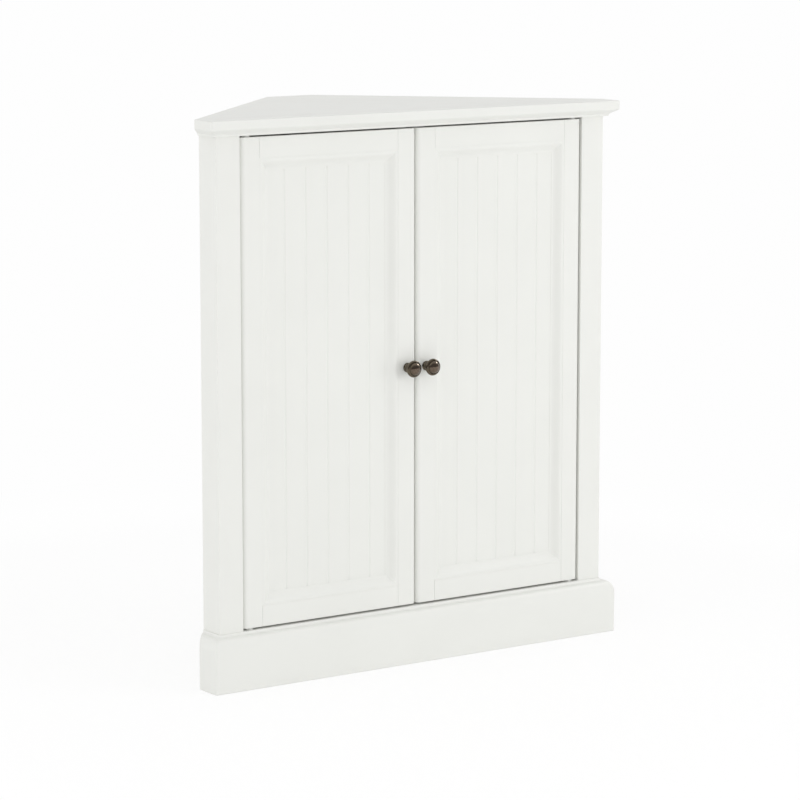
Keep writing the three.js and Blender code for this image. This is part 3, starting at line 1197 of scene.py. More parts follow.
class MouldingRun(GeometryGroup):
    """A profile swept along a straight run.

    The profile's first axis points out of the run and its second up. Each end is cut on a slope
    with the first axis, which makes a mitre, and may round off the corner that it shares with
    the next run.
    """

    NAME = "moulding_run"
    INPUTS = {
        "Geometry": "Geometry", "Length": 1.0, "Start Slope": 0.0, "End Slope": 0.0,
        "Start Radius": 0.0, "End Radius": 0.0, "Face Depth": 0.0, "Corner Steps": 6,
        "Finish": "Material",
    }
    RING_NAME = "ring"
    HALF_CORNER = math.pi / 4

    def draw(self) -> dict[str, Any]:
        """Sweeps the profile, then moves each ring of points to its place along the run.

        Returns:
            The value of each output.
        """
        profile = self.add("GeometryNodeMeshToCurve", {"Mesh": self.given["Geometry"]})
        line = self.add("GeometryNodeCurvePrimitiveLine", {"End": (0, 0, 1)})
        steps = self.term(self.given["Corner Steps"])
        rings = steps * 2.0 + 2.0
        path = self.add("GeometryNodeResampleCurve", {"Curve": line, "Count": rings})
        index = self.add("GeometryNodeInputIndex")
        numbered = self.add(
            "GeometryNodeStoreNamedAttribute",
            {"Geometry": path, "Name": self.RING_NAME, "Value": index},
            {"data_type": "INT", "domain": "POINT"},
        )
        swept = self.add(
            "GeometryNodeCurveToMesh",
            {"Curve": numbered, "Profile Curve": profile, "Fill Caps": True},
        )
        place = self.place_on_run(steps, rings)
        moved = self.add("GeometryNodeSetPosition", {"Geometry": swept, "Position": place})
        inputs = {"Geometry": moved, "Name": self.RING_NAME}
        bare = self.add("GeometryNodeRemoveAttribute", inputs)
        inputs = {"Geometry": bare, "Distance": WELD}
        return self.finished(self.add("GeometryNodeMergeByDistance", inputs))

    def place_on_run(self, steps: Term, rings: Term) -> bpy.types.Node:
        """Where each point of the swept profile goes.

        Args:
            steps: Stretches in a rounded corner.
            rings: Rings of points along the run.

        Returns:
            The points' places.
        """
        named = {"Name": self.RING_NAME}
        ring = self.term(
            self.add("GeometryNodeInputNamedAttribute", named, {"data_type": "INT"})
        )
        out, height, _ = self.parts(self.add("GeometryNodeInputPosition"))
        ending = ring.above(steps + 0.5)
        from_end = ending.picks(ring, rings - 1.0 - ring)
        radius = ending.picks(self.given["Start Radius"], self.given["End Radius"])
        slope = ending.picks(self.given["Start Slope"], self.given["End Slope"])
        turn = from_end / steps * self.HALF_CORNER + self.HALF_CORNER
        on_face = out.above(self.given["Face Depth"])
        sunk = radius * (1.0 - self.math("SINE", turn)) * on_face
        passed = radius * (1.0 - self.math("COSINE", turn))
        hidden_part = radius * (1 - math.cos(self.HALF_CORNER)) * (1.0 - on_face)
        along = passed - hidden_part - out * slope
        length = self.term(self.given["Length"])
        return self.vector(out - sunk, height, ending.picks(along, length - along))


class GroovedBoard(GeometryGroup):
    """A board with V grooves at an even pitch, counted out from its middle line."""

    NAME = "grooved_board"
    INPUTS = {
        "Geometry": "Geometry", "Width": 0.3, "Height": 0.7, "Thickness": 0.005, "Grooves": 7,
        "Pitch": 0.04, "Groove Width": 0.005, "Groove Depth": 0.002, "Softness": 0.35,
        "Finish": "Material",
    }
    POINTS_ACROSS = 9
    CORNERS = 4.0

    def draw(self) -> dict[str, Any]:
        """Sweeps the board's section up its height.

        Returns:
            The value of each output.
        """
        last_groove_point = self.term(self.given["Grooves"]) * float(self.POINTS_ACROSS)
        count = last_groove_point + self.CORNERS
        points = self.add("GeometryNodeMeshLine", {"Count": count})
        section = self.add("GeometryNodeMeshToCurve", {"Mesh": points})
        inputs = {"Geometry": section, "Cyclic": True}
        closed = self.add("GeometryNodeSetSplineCyclic", inputs)
        place = self.section_place(last_groove_point)
        drawn = self.add("GeometryNodeSetPosition", {"Geometry": closed, "Position": place})
        top = self.vector(0.0, 0.0, self.given["Height"])
        line = self.add("GeometryNodeCurvePrimitiveLine", {"End": top})
        inputs = {"Curve": line, "Profile Curve": drawn, "Fill Caps": True}
        return self.finished(self.add("GeometryNodeCurveToMesh", inputs))

    def section_place(self, last_groove_point: Term) -> bpy.types.Node:
        """Where each point of the board's section goes.

        The points run from the left corner of the face over its grooves to the right corner,
        and back behind.

        Args:
            last_groove_point: How many points the grooves have between them.

        Returns:
            The points' places, the face at nought and the grooves behind it.
        """
        half = (self.POINTS_ACROSS - 1) / 2
        index = self.term(self.add("GeometryNodeInputIndex"))
        groove = self.math("FLOOR", (index - 1.0) / float(self.POINTS_ACROSS))
        step = index - 1.0 - groove * float(self.POINTS_ACROSS)
        side = (step - half) / half
        middle = (self.term(self.given["Grooves"]) - 1.0) / 2.0
        from_middle = (groove - middle) * self.given["Pitch"]
        groove_x = from_middle + side * self.given["Groove Width"] * 0.5
        fall = 1.0 - self.math("ABSOLUTE", side)
        eased = fall * fall * (3.0 - fall * 2.0)
        groove_y = (fall + (eased - fall) * self.given["Softness"]) * self.given["Groove Depth"]
        edge = self.term(self.given["Width"]) / 2.0
        behind = index.above(last_groove_point + 1.5)
        in_groove = index.above(0.5) * (1.0 - index.above(last_groove_point + 0.5))
        at_right = index.above(0.5) * (1.0 - index.above(last_groove_point + 2.5))
        edge_x = at_right.picks(edge * -1.0, edge)
        edge_y = behind * self.given["Thickness"]
        return self.vector(
            in_groove.picks(edge_x, groove_x), in_groove.picks(edge_y, groove_y), 0.0
        )


class SetOut(GeometryGroup):
    """Copies of a small piece set on marked points, each turned by chance about its own axis."""

    NAME = "set_out"
    INPUTS = {
        "Geometry": "Geometry", "Piece": "Object", "Spin": math.pi, "Seed": 4, "Finish": "Material"
    }
    FACING_NAME = "facing"

    def draw(self) -> dict[str, Any]:
        """Instances on points, faced and spun.

        Returns:
            The value of each output.
        """
        piece = self.add("GeometryNodeObjectInfo", {"Object": self.given["Piece"]})
        facing = self.add(
            "GeometryNodeInputNamedAttribute",
            {"Name": self.FACING_NAME},
            {"data_type": "FLOAT_VECTOR"},
        )
        faced = self.add("FunctionNodeAlignRotationToVector", {"Vector": facing})
        inputs = {"Seed": self.given["Seed"]}
        chance = self.add("FunctionNodeRandomValue", inputs, {"data_type": "FLOAT"})
        inputs = {"Axis": (0, 0, 1), "Angle": self.term(chance.outputs[1]) * self.given["Spin"]}
        own_turn = self.add("FunctionNodeAxisAngleToRotation", inputs)
        turned = self.add(
            "FunctionNodeRotateRotation",
            {"Rotation": faced, "Rotate By": own_turn},
            {"rotation_space": "LOCAL"},
        )
        inputs = {
            "Points": self.given["Geometry"],
            "Instance": piece.outputs["Geometry"],
            "Rotation": turned,
        }
        return self.finished(self.add("GeometryNodeInstanceOnPoints", inputs))


class Workshop:
    """What every sub-assembly is made with: the finishes and the geometry trees."""

    def __init__(self) -> None:
        """Builds each of them once."""
        self.finishes = FinishSet()
        self.run = MouldingRun()
        self.boarding = GroovedBoard()
        self.set_out = SetOut()


@dataclass(frozen=True)
class RunPlace:
    """Where a moulding run starts, the way out of it and the way up its section."""

    start: Vector
    out: Vector
    up: Vector

    @property
    def matrix(self) -> Matrix:
        """What brings the run from the origin to its place."""
        axes = Matrix((self.out, self.up, self.out.cross(self.up))).transposed().to_4x4()
        return Matrix.Translation(self.start) @ axes


@dataclass
class SubAssembly:
    """A group of pieces that are built together."""

    workshop: Workshop

    @property
    def finishes(self) -> FinishSet:
        """The cupboard's finishes."""
        return self.workshop.finishes

    def build(self) -> None:
        """Makes the pieces."""
        raise NotImplementedError

    def add(
        self,
        name: str,
        mesh: bpy.types.Mesh,
        body: str,
        finish: Finish,
        replaced: Sequence[str] = (),
    ) -> None:
        """Puts a finished mesh on its body as a piece.

        Args:
            name: The piece's name.
            mesh: Its mesh, in its place.
            body: The body that carries it.
            finish: Its finish.
            replaced: The CAD nodes that it stands for.
        """
        piece = in_scene(name, mesh)
        mesh.materials.clear()
        mesh.materials.append(self.finishes.of(finish))
        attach(piece, body)
        if replaced:
            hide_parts(*replaced)
        LOG.info("%s: %d faces, rides on %s", name, len(mesh.polygons), body)

    def ease(self, node: str, body: str, finish: Finish, width: float, film: float = 0.0) -> None:
        """Stands a copy with eased arrises in a CAD node's place.

        Args:
            node: The CAD node's name.
            body: The body that carries it.
            finish: Its finish.
            width: How far the easing reaches.
            film: Thickness of the paint on it, where it narrows a seam.
        """
        self.add(f"{node}_eased", eased_node(node, width, film), body, finish, [node])

    def keep(self, node: str, finish: Finish) -> None:
        """Keeps a CAD node as it is and gives it its finish.

        Args:
            node: The CAD node's name.
            finish: Its finish.
        """
        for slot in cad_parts[node].material_slots:
            slot.material = self.finishes.of(finish)
        LOG.info("%s: kept from the frame", node)

    def lay_run(
        self,
        node: str,
        body: str,
        profile: Sequence[Point2],
        values: dict[str, Any],
        place: RunPlace,
    ) -> None:
        """Sweeps a painted moulding run in a CAD node's place.

        Args:
            node: The CAD node's name.
            body: The body that carries it.
            profile: The run's closed section, as distances out and up.
            values: Its length, slopes and radii.
            place: Where it lies.
        """
        name, paint = f"{node}_run", self.finishes.case_paint
        values = values | {"Finish": self.finishes.of(paint)}
        line = outline_mesh(f"{name}_profile", profile)
        mesh = evaluated(name, line, [Growing(self.workshop.run, values)])
        mesh.transform(place.matrix)
        mesh = evaluated(name, creased(outward(mesh)), [FlatFaces()])
        self.add(name, mesh, body, paint, [node])

    def set_out(
        self,
        name: str,
        piece: bpy.types.Mesh,
        body: str,
        places: Sequence[Vector],
        facings: Sequence[Vector],
        replaced: Sequence[str] = (),
    ) -> None:
        """Sets copies of a small steel piece out, as one piece.

        Args:
            name: The piece's name.
            piece: The mesh that is copied, its foot at the origin.
            body: The body that carries the copies.
            places: Where they stand.
            facings: The way that each of them faces.
            replaced: The CAD nodes that they stand for.
        """
        steel = self.finishes.steel
        carrier = in_scene(f"{name}_piece", piece)
        values = {"Piece": carrier, "Spin": math.tau, "Finish": self.finishes.of(steel)}
        marks = marks_mesh(f"{name}_marks", places, facings)
        mesh = evaluated(name, marks, [Growing(self.workshop.set_out, values)])
        bpy.data.objects.remove(carrier)
        self.add(name, creased(mesh), body, steel, replaced)


# The case


@dataclass
class TopBoard(SubAssembly):
    """The top board: an ogee under its front and side edges, square against the walls."""

    flat_height: float = 13.5 * MM
    top_ease: float = 1.5 * MM
    ogee_width: float = 12.5 * MM
    ogee_fillet: float = 1.8 * MM
    corner_flat: float = 90 * MM
    front_radius: float = 3.5 * MM
    back_radius: float = 1.2 * MM
    back_ease: float = 0.6 * MM
    steps: int = 12

    def edge(self, bottom: float, top: float, overhang: float) -> list[Point2]:
        """The moulded edge's section.

        Args:
            bottom: The board's underside.
            top: Its top.
            overhang: How far it stands out from the case.

        Returns:
            Distances out and heights, from the bottom up.
        """
        start = (overhang - self.ogee_width, bottom + self.ogee_fillet)
        end = (overhang, top - self.flat_height)
        side, brink = (overhang, top - self.top_ease), (overhang - self.top_ease, top)
        return [
            (start[0] - self.back_ease, bottom),
            (start[0], bottom + self.back_ease),
            *soft_s(start, end, self.steps * 2, upright=True),
            *quarter(side, brink, self.steps // 2, level_first=False),
        ]

    def ring(
        self, out: float, height: float, case: Box, back: float, back_inset: float
    ) -> list[Point3]:
        """The board's outline at one height.

        Args:
            out: How far its moulded edges stand out from the case.
            height: The height.
            case: The box of the case's front.
            back: Where its back corner was cut off.
            back_inset: How far its edges on the walls draw back.

        Returns:
            The outline's points.
        """
        edge_x = case.high.x + out
        front_y = case.low.y - out
        reach = self.corner_flat / 2 + back - back_inset * math.sqrt(2)
        flat_y = back - back_inset
        flat_x = reach - flat_y
        front, rear = self.front_radius, self.back_radius
        corners = [
            (-edge_x, front_y, front),
            (edge_x, front_y, front),
            (edge_x, reach - edge_x, rear),
            (flat_x, flat_y, rear),
            (-flat_x, flat_y, rear),
            (-edge_x, reach - edge_x, rear),
        ]
        return [(x, y, height) for x, y in rounded_outline(corners, self.steps // 2)]

    def build(self) -> None:
        """Lofts the board through its outlines."""
        box = Box.of("top_board")
        case = Box(Box.of("left_face_stile").low, Box.of("right_face_stile").high)
        overhang = box.high.x - case.high.x
        rings = []
        for out, height in self.edge(box.low.z, box.high.z, overhang):
            from_end = min(height - box.low.z, box.high.z - height)
            inset = max(0.0, self.back_ease - from_end)
            rings.append(self.ring(out, height, case, box.high.y, inset))
        name = "top_board_moulded"
        mesh = evaluated(name, creased(loft(name, rings)), [FlatFaces()])
        self.add(name, mesh, "case", self.finishes.case_paint, ["top_board"])


@dataclass
class Plinth(SubAssembly):
    """The plinth: a front run mitred to a return at each side, with a rounded shoulder."""

    shoulder_width: float = 13 * MM
    shoulder_height: float = 19.5 * MM
    cove_width: float = 5.5 * MM
    cove_height: float = 4.5 * MM
    foot_ease: float = 1.0 * MM
    corner_radius: float = 4 * MM
    corner_steps: int = 8
    steps: int = 14

    def profile(self, seam: float, overhang: float, height: float) -> list[Point2]:
        """The section of every run.

        Args:
            seam: The gap between the case and the run's back.
            overhang: How far the run stands out from the case.
            height: Its height.

        Returns:
            Distances out and heights, from the foot round to the back.
        """
        shoulder = (overhang - self.shoulder_width, height - self.cove_height)
        flat_top = (overhang, shoulder[1] - self.shoulder_height)
        cove_end = (shoulder[0] - self.cove_width, height)
        foot, toe = (overhang - self.foot_ease, 0.0), (overhang, self.foot_ease)
        return [
            (seam, 0.0),
            *quarter(foot, toe, self.steps // 3, level_first=True),
            *quarter(flat_top, shoulder, self.steps, level_first=False),
            *quarter(shoulder, cove_end, self.steps // 2, level_first=True)[1:],
            (seam, height),
        ]

    def build(self) -> None:
        """Sweeps the three runs and lays them against the case."""
        front, stile = Box.of("plinth_front"), Box.of("left_face_stile")
        case_half, face_y = -stile.low.x, stile.low.y
        seam = face_y - front.high.y
        profile = self.profile(seam, face_y - front.low.y, front.high.z)
        rounded = {"Face Depth": (seam + profile[-2][0]) / 2, "Corner Steps": self.corner_steps}
        values = rounded | {
            "Length": case_half * 2,
            "Start Slope": 1.0,
            "End Slope": 1.0,
            "Start Radius": self.corner_radius,
            "End Radius": self.corner_radius,
        }
        place = RunPlace(Vector((case_half, face_y, 0)), FRONT, UP)
        self.lay_run("plinth_front", "case", profile, values, place)
        self.build_returns(profile, rounded, case_half, face_y)

    def build_returns(
        self,
        profile: Sequence[Point2],
        rounded: dict[str, Any],
        case_half: float,
        face_y: float,
    ) -> None:
        """Sweeps the return at each side, from its mitre to its slanted end on the wall.

        Args:
            profile: The runs' section.
            rounded: The values that round the corner.
            case_half: Half of the case's width.
            face_y: The case's front face.
        """
        wall_end = Box.of("left_plinth_return").high.y
        length = wall_end - face_y + profile[0][0]
        for side in Side:
            left = side is Side.LEFT
            near, far = ("Start", "End") if left else ("End", "Start")
            values = rounded | {
                "Length": length,
                f"{near} Slope": 1.0,
                f"{near} Radius": self.corner_radius,
                f"{far} Slope": -1.0,
            }
            start = Vector((side.value * case_half, face_y if left else face_y + length, 0))
            place = RunPlace(start, LEFT if left else RIGHT, UP)
            self.lay_run(side.node("plinth_return"), "case", profile, values, place)


@dataclass
class Case(SubAssembly):
    """The boards of the case, with eased arrises."""

    board_ease: float = 0.2 * MM
    film: float = 0.22 * MM
    boards: tuple[str, ...] = (
        "bottom_panel", "left_wall_panel", "right_wall_panel", "corner_back_panel",
        "left_side_panel", "right_side_panel", "left_face_stile", "right_face_stile",
    )

    def build(self) -> None:
        """Eases what shows and keeps the hidden rail."""
        paint = self.finishes.case_paint
        for node in self.boards:
            self.ease(node, "case", paint, self.board_ease, self.film)
        self.keep("base_rail", paint)


@dataclass
class Shelves(SubAssembly):
    """Two shelves on turned pins that stick out of the wall panels."""

    shelf_ease: float = 1.0 * MM
    seam: float = 0.3 * MM
    pin_radius: float = 2.5 * MM
    pin_ease: float = 0.5 * MM
    peg_length: float = 9 * MM
    support_length: float = 9 * MM
    collar_radius: float = 4.5 * MM
    collar_thickness: float = 1.5 * MM
    segments: int = 32

    def build(self) -> None:
        """Eases the shelves and sets out the pins."""
        for level in ("lower", "upper"):
            self.ease(f"{level}_shelf", "case", self.finishes.case_paint, self.shelf_ease)
        self.build_pins()

    def pin(self) -> Turned:
        """A pin.

        Returns:
            The pin, the wall at height nought.
        """
        collar_top = self.seam + self.collar_thickness
        tip = collar_top + self.support_length
        radius, ease = self.pin_radius, self.pin_ease
        profile = (
            (0.0, -self.peg_length),
            (radius, -self.peg_length),
            (radius, self.seam),
            (self.collar_radius, self.seam),
            (self.collar_radius, collar_top - ease),
            (self.collar_radius - ease, collar_top),
            (radius, collar_top),
            (radius, tip - ease),
            (radius - ease, tip),
            (0.0, tip),
        )
        return Turned.unrubbed(profile, self.segments)

    def build_pins(self) -> None:
        """Sets the pins where the CAD has them, as one piece."""
        pin = self.pin()
        tip = pin.profile[-1][1]
        nodes, places, facings = [], [], []
        for side in Side:
            facing = Vector((-side.value, -1, 0)).normalized()
            for level in ("lower", "upper"):
                for end in ("front", "back"):
                    node = f"{level}_shelf_pin_{side.name.lower()}_{end}"
                    middle = Box.of(node).middle
                    nodes.append(node)
                    facings.append(facing)
                    places.append(middle - facing * (tip - self.peg_length) / 2)
        piece = pin.mesh("shelf_pin", Vector(), UP)
        self.set_out("shelf_pins", piece, "case", places, facings, nodes)


@dataclass
class Catch(SubAssembly):
    """A double magnetic catch screwed under the top board."""

    body_ease: float = 0.7 * MM
    magnet_middle: float = 18.75 * MM
    magnet_depth: float = 17 * MM
    flange_thickness: float = 2.5 * MM
    plate_width: float = 16 * MM
    plate_height: float = 1.4 * MM
    plate_spacing: float = 7 * MM
    plate_stick_out: float = 0.12 * MM
    plate_depth: float = 6 * MM
    screw_radius: float = 2.8 * MM
    screw_height: float = 1.7 * MM
    screw_shank: float = 1.5 * MM
    screw_middle: float = 17 * MM

    def build(self) -> None:
        """Eases the body and adds its pole plates and screws."""
        self.ease("magnetic_catch", "case", self.finishes.plastic, self.body_ease)
        box = Box.of("magnetic_catch")
        self.build_plates(box)
        self.build_screws(box)

    def build_plates(self, box: Box) -> None:
        """Two steel plates in the front of each magnet.

        Args:
            box: The catch's box.
        """
        form = bmesh.new()
        y = box.low.y - self.plate_stick_out + self.plate_depth / 2
        middle_z = (box.low.z + box.high.z - self.flange_thickness) / 2
        size = (self.plate_width, self.plate_depth, self.plate_height)
        for side in Side:
            for level in (-1, 1):
                z = middle_z + level * self.plate_spacing / 2
                middle = Vector((side.value * self.magnet_middle, y, z))
                matrix = Matrix.Translation(middle) @ Matrix.Diagonal((*size, 1))
                bmesh.ops.create_cube(form, size=1, matrix=matrix)
        name = "catch_pole_plates"
        self.add(name, written(form, bpy.data.meshes.new(name)), "case", self.finishes.steel)

    def build_screws(self, box: Box) -> None:
        """Two screws through the strip of flange behind the magnets.

        Args:
            box: The catch's box.
        """
        z = box.high.z - self.flange_thickness
        y = (box.low.y + self.magnet_depth + box.high.y) / 2
        places = [Vector((side.value * self.screw_middle, y, z)) for side in Side]
        facings = [DOWN] * len(places)
        screw = Screw.stub(self.screw_radius, self.screw_height, self.screw_shank)
        self.set_out("catch_screws", screw.mesh("catch_screw"), "case", places, facings)


# The doors


@dataclass
class DoorPart(SubAssembly):
    """Pieces that belong to one of the two doors."""

    side: Side = Side.LEFT


@dataclass
class Door(DoorPart):
    """A framed door with a grooved board and a mitred moulding planted round it."""

    frame_ease: float = 0.2 * MM
    pitch: float = 40.5 * MM
    groove_width: float = 6 * MM
    groove_depth: float = 1.1 * MM
    groove_softness: float = 0.5
    moulding_width: float = 20 * MM
    reveal: float = 0.3 * MM
    outer_fillet: float = 2.5 * MM
    moulding_ease: float = 0.15 * MM
    inner_fillet: float = 1.5 * MM
    inner_height: float = 0.5 * MM
    seam: float = 0.05 * MM
    mitre_gap: float = 0.02 * MM
    steps: int = 20

    def node(self, name: str) -> str:
        """The name of one of this door's nodes."""
        return self.side.node(f"door_{name}")

    def build(self) -> None:
        """Makes the frame, the board and the moulding."""
        paint = self.finishes.case_paint
        for part in ("hinge_stile", "meeting_stile", "top_rail", "bottom_rail"):
            self.ease(self.node(part), self.side.body, paint, self.frame_ease)
        opening = self.opening()
        self.build_board(opening)
        self.build_moulding(opening)

    def opening(self) -> Box:
        """The space inside the frame.

        Returns:
            The box between the stiles and the rails, as deep as they are.
        """
        stiles = [Box.of(self.node(f"{name}_stile")) for name in ("hinge", "meeting")]
        first, last = sorted(stiles, key=lambda box: box.low.x)
        bottom = Box.of(self.node("bottom_rail")).high.z
        top = Box.of(self.node("top_rail")).low.z
        return Box(
            Vector((first.high.x, first.low.y, bottom)),
            Vector((last.low.x, last.high.y, top)),
        )

    def build_board(self, opening: Box) -> None:
        """Grows the grooved board and stands it in the frame's grooves.

        Args:
            opening: The space inside the frame.
        """
        node = self.node("panel")
        box, name = Box.of(node), f"{node}_boarding"
        paint = self.finishes.board_paint
        values = {
            "Width": box.size.x,
            "Height": box.size.z,
            "Thickness": box.size.y,
            "Grooves": 2 * int(opening.size.x / 2 / self.pitch) + 1,
            "Pitch": self.pitch,
            "Groove Width": self.groove_width,
            "Groove Depth": self.groove_depth,
            "Softness": self.groove_softness,
            "Finish": self.finishes.of(paint),
        }
        base = bpy.data.meshes.new(f"{name}_base")
        mesh = evaluated(name, base, [Growing(self.workshop.boarding, values)])
        mesh.transform(Matrix.Translation((box.middle.x, box.low.y, box.low.z)))
        mesh = evaluated(name, creased(outward(mesh)), [FlatFaces()])
        self.add(name, mesh, self.side.body, paint, [node])

    def moulding_profile(self, recess: float) -> list[Point2]:
        """The moulding's section.

        Args:
            recess: How far the board lies behind the door's face.

        Returns:
            Distances into the opening and behind the door's face.
        """
        base = recess - self.seam
        inner_top = base - self.inner_height
        start = (self.outer_fillet, self.reveal)
        end = (self.moulding_width - self.inner_fillet, inner_top)
        ease = self.moulding_ease
        return [
            (self.seam, base),
            (self.seam, self.reveal + ease),
            (self.seam + ease, self.reveal),
            *soft_s(start, end, self.steps),
            (self.moulding_width - ease, inner_top),
            (self.moulding_width, inner_top + ease),
            (self.moulding_width, base),
        ]

    def build_moulding(self, opening: Box) -> None:
        """Sweeps the moulding's four runs, mitred at the corners.

        Args:
            opening: The space inside the frame.
        """
        board = Box.of(self.node("panel"))
        profile = self.moulding_profile(board.low.y - opening.low.y)
        low, high, gap = opening.low, opening.high, self.mitre_gap
        ends = ("hinge", "meeting") if self.side is Side.LEFT else ("meeting", "hinge")
        starts = {
            "bottom": (high.x - gap, low.z, UP),
            "top": (low.x + gap, high.z, DOWN),
            ends[0]: (low.x, low.z + gap, RIGHT),
            ends[1]: (high.x, high.z - gap, LEFT),
        }
        mitred = {"Start Slope": -1.0, "End Slope": -1.0, "Corner Steps": 1}
        for name, (x, z, inward) in starts.items():
            across = opening.size.z if inward.x else opening.size.x
            values = mitred | {"Length": across - gap * 2}
            place = RunPlace(Vector((x, low.y, z)), inward, BACK)
            self.lay_run(self.node(f"moulding_{name}"), self.side.body, profile, values, place)


@dataclass
class Knob(DoorPart):
    """A turned mushroom knob and the screw that holds it through the stile."""

    head_radius: float = 14 * MM
    head_thickness: float = 9 * MM
    rim_height: float = 1 * MM
    rim_width: float = 2.8 * MM
    rim_rise: float = 2.8 * MM
    dimple_depth: float = 0.4 * MM
    crown_radius: float = 10.4 * MM
    neck_radius: float = 6 * MM
    base_radius: float = 8 * MM
    base_thickness: float = 3 * MM
    base_ease: float = 0.4 * MM
    bore_depth: float = 10 * MM
    screw_radius: float = 2 * MM
    screw_head_radius: float = 4.5 * MM
    screw_head_height: float = 2.2 * MM
    seam: float = 0.3 * MM
    steps: int = 16
    segments: int = 96
    screw_steps: int = 8
    screw_segments: int = 32
    foot_rub: float = 0.05
    rim_rub: float = 0.2
    crown_rub: float = 0.3
    middle_rub: float = 0.7

    def build(self) -> None:
        """Turns the knob and its screw."""
        self.build_knob()
        self.build_screw()

    def build_knob(self) -> None:
        """Turns the knob on the door's face."""
        node = self.side.node("knob")
        box, name = Box.of(node), f"{node}_turned"
        profile = self.profile(box.size.y)
        turned = Turned(profile, [self.rub(*point) for point in profile], self.segments)
        mesh = turned.mesh(name, Vector((box.middle.x, box.high.y, box.middle.z)), FRONT)
        self.add(name, mesh, self.side.body, self.finishes.bronze, [node])

    def profile(self, reach: float) -> list[Point2]:
        """The knob's section.

        Args:
            reach: How far the knob stands out from the door.

        Returns:
            Radii and heights, from its bore round its foot, neck and rim to its crown.
        """
        bore = self.screw_radius + self.seam
        base, ease = self.base_radius, self.base_ease
        foot = (base, self.base_thickness / 2)
        neck = (self.neck_radius, self.base_thickness * 2)
        rim_bottom = (self.head_radius, reach - self.head_thickness)
        rim_top = (self.head_radius, rim_bottom[1] + self.rim_height)
        ring = (self.head_radius - self.rim_width, rim_top[1] + self.rim_rise)
        crown_edge = (self.crown_radius, ring[1] - self.dimple_depth)
        dimple = ((ring[0] + crown_edge[0]) / 2, crown_edge[1] - self.dimple_depth / 2)
        return [
            (0.0, self.bore_depth),
            (bore, self.bore_depth),
            (bore, 0.0),
            (base - ease, 0.0),
            (base, ease),
            *quarter(foot, neck, self.steps // 2, level_first=True),
            *quarter(neck, rim_bottom, self.steps, level_first=False)[1:],
            *quarter(rim_top, ring, self.steps // 2, level_first=False),
            dimple,
            *quarter(crown_edge, (0.0, reach), self.steps * 2, level_first=False),
        ]

    def rub(self, radius: float, height: float) -> float:
        """How rubbed the knob is at a point of its section: most in the middle of its crown.

        Args:
            radius: The point's radius.
            height: The point's height.

        Returns:
            The share, up to one.
        """
        if height < self.base_thickness * 2 + self.head_thickness:
            return self.foot_rub
        if radius > self.crown_radius:
            return self.rim_rub
        return self.crown_rub + self.middle_rub * (1 - (radius / self.crown_radius) ** 2)

    def build_screw(self) -> None:
        """Turns the screw, its head behind the stile."""
        node = self.side.node("knob_screw")
        box = Box.of(node)
        under_head = box.high.y - (self.seam + self.screw_head_height)
        screw = Screw(
            self.screw_head_radius, self.screw_head_height, self.screw_radius,
            under_head - box.low.y, self.seam, self.screw_steps, self.screw_segments,
        )
        place = Vector((box.middle.x, under_head, box.middle.z))
        mesh = stood(screw.mesh(node), place, BACK)
        self.add(f"{node}_turned", mesh, self.side.body, self.finishes.steel, [node])


@dataclass
class Strike(DoorPart):
    """The steel plate on a door's back that the catch holds, with its two screws."""

    plate_ease: float = 0.25 * MM
    screw_radius: float = 1.5 * MM
    screw_height: float = 0.25 * MM
    screw_shank: float = 0.8 * MM
    screw_spread: float = 4.6 * MM

    def build(self) -> None:
        """Eases the plate and sets its screws."""
        node = self.side.node("strike_plate")
        self.ease(node, self.side.body, self.finishes.steel, self.plate_ease)
        box = Box.of(node)
        places = [
            Vector((box.middle.x + way * self.screw_spread, box.high.y, box.middle.z))
            for way in (-1, 1)
        ]
        screw = Screw.stub(self.screw_radius, self.screw_height, self.screw_shank)
        name, facings = self.side.node("strike_screws"), [BACK] * len(places)
        self.set_out(name, screw.mesh("strike_screw"), self.side.body, places, facings)


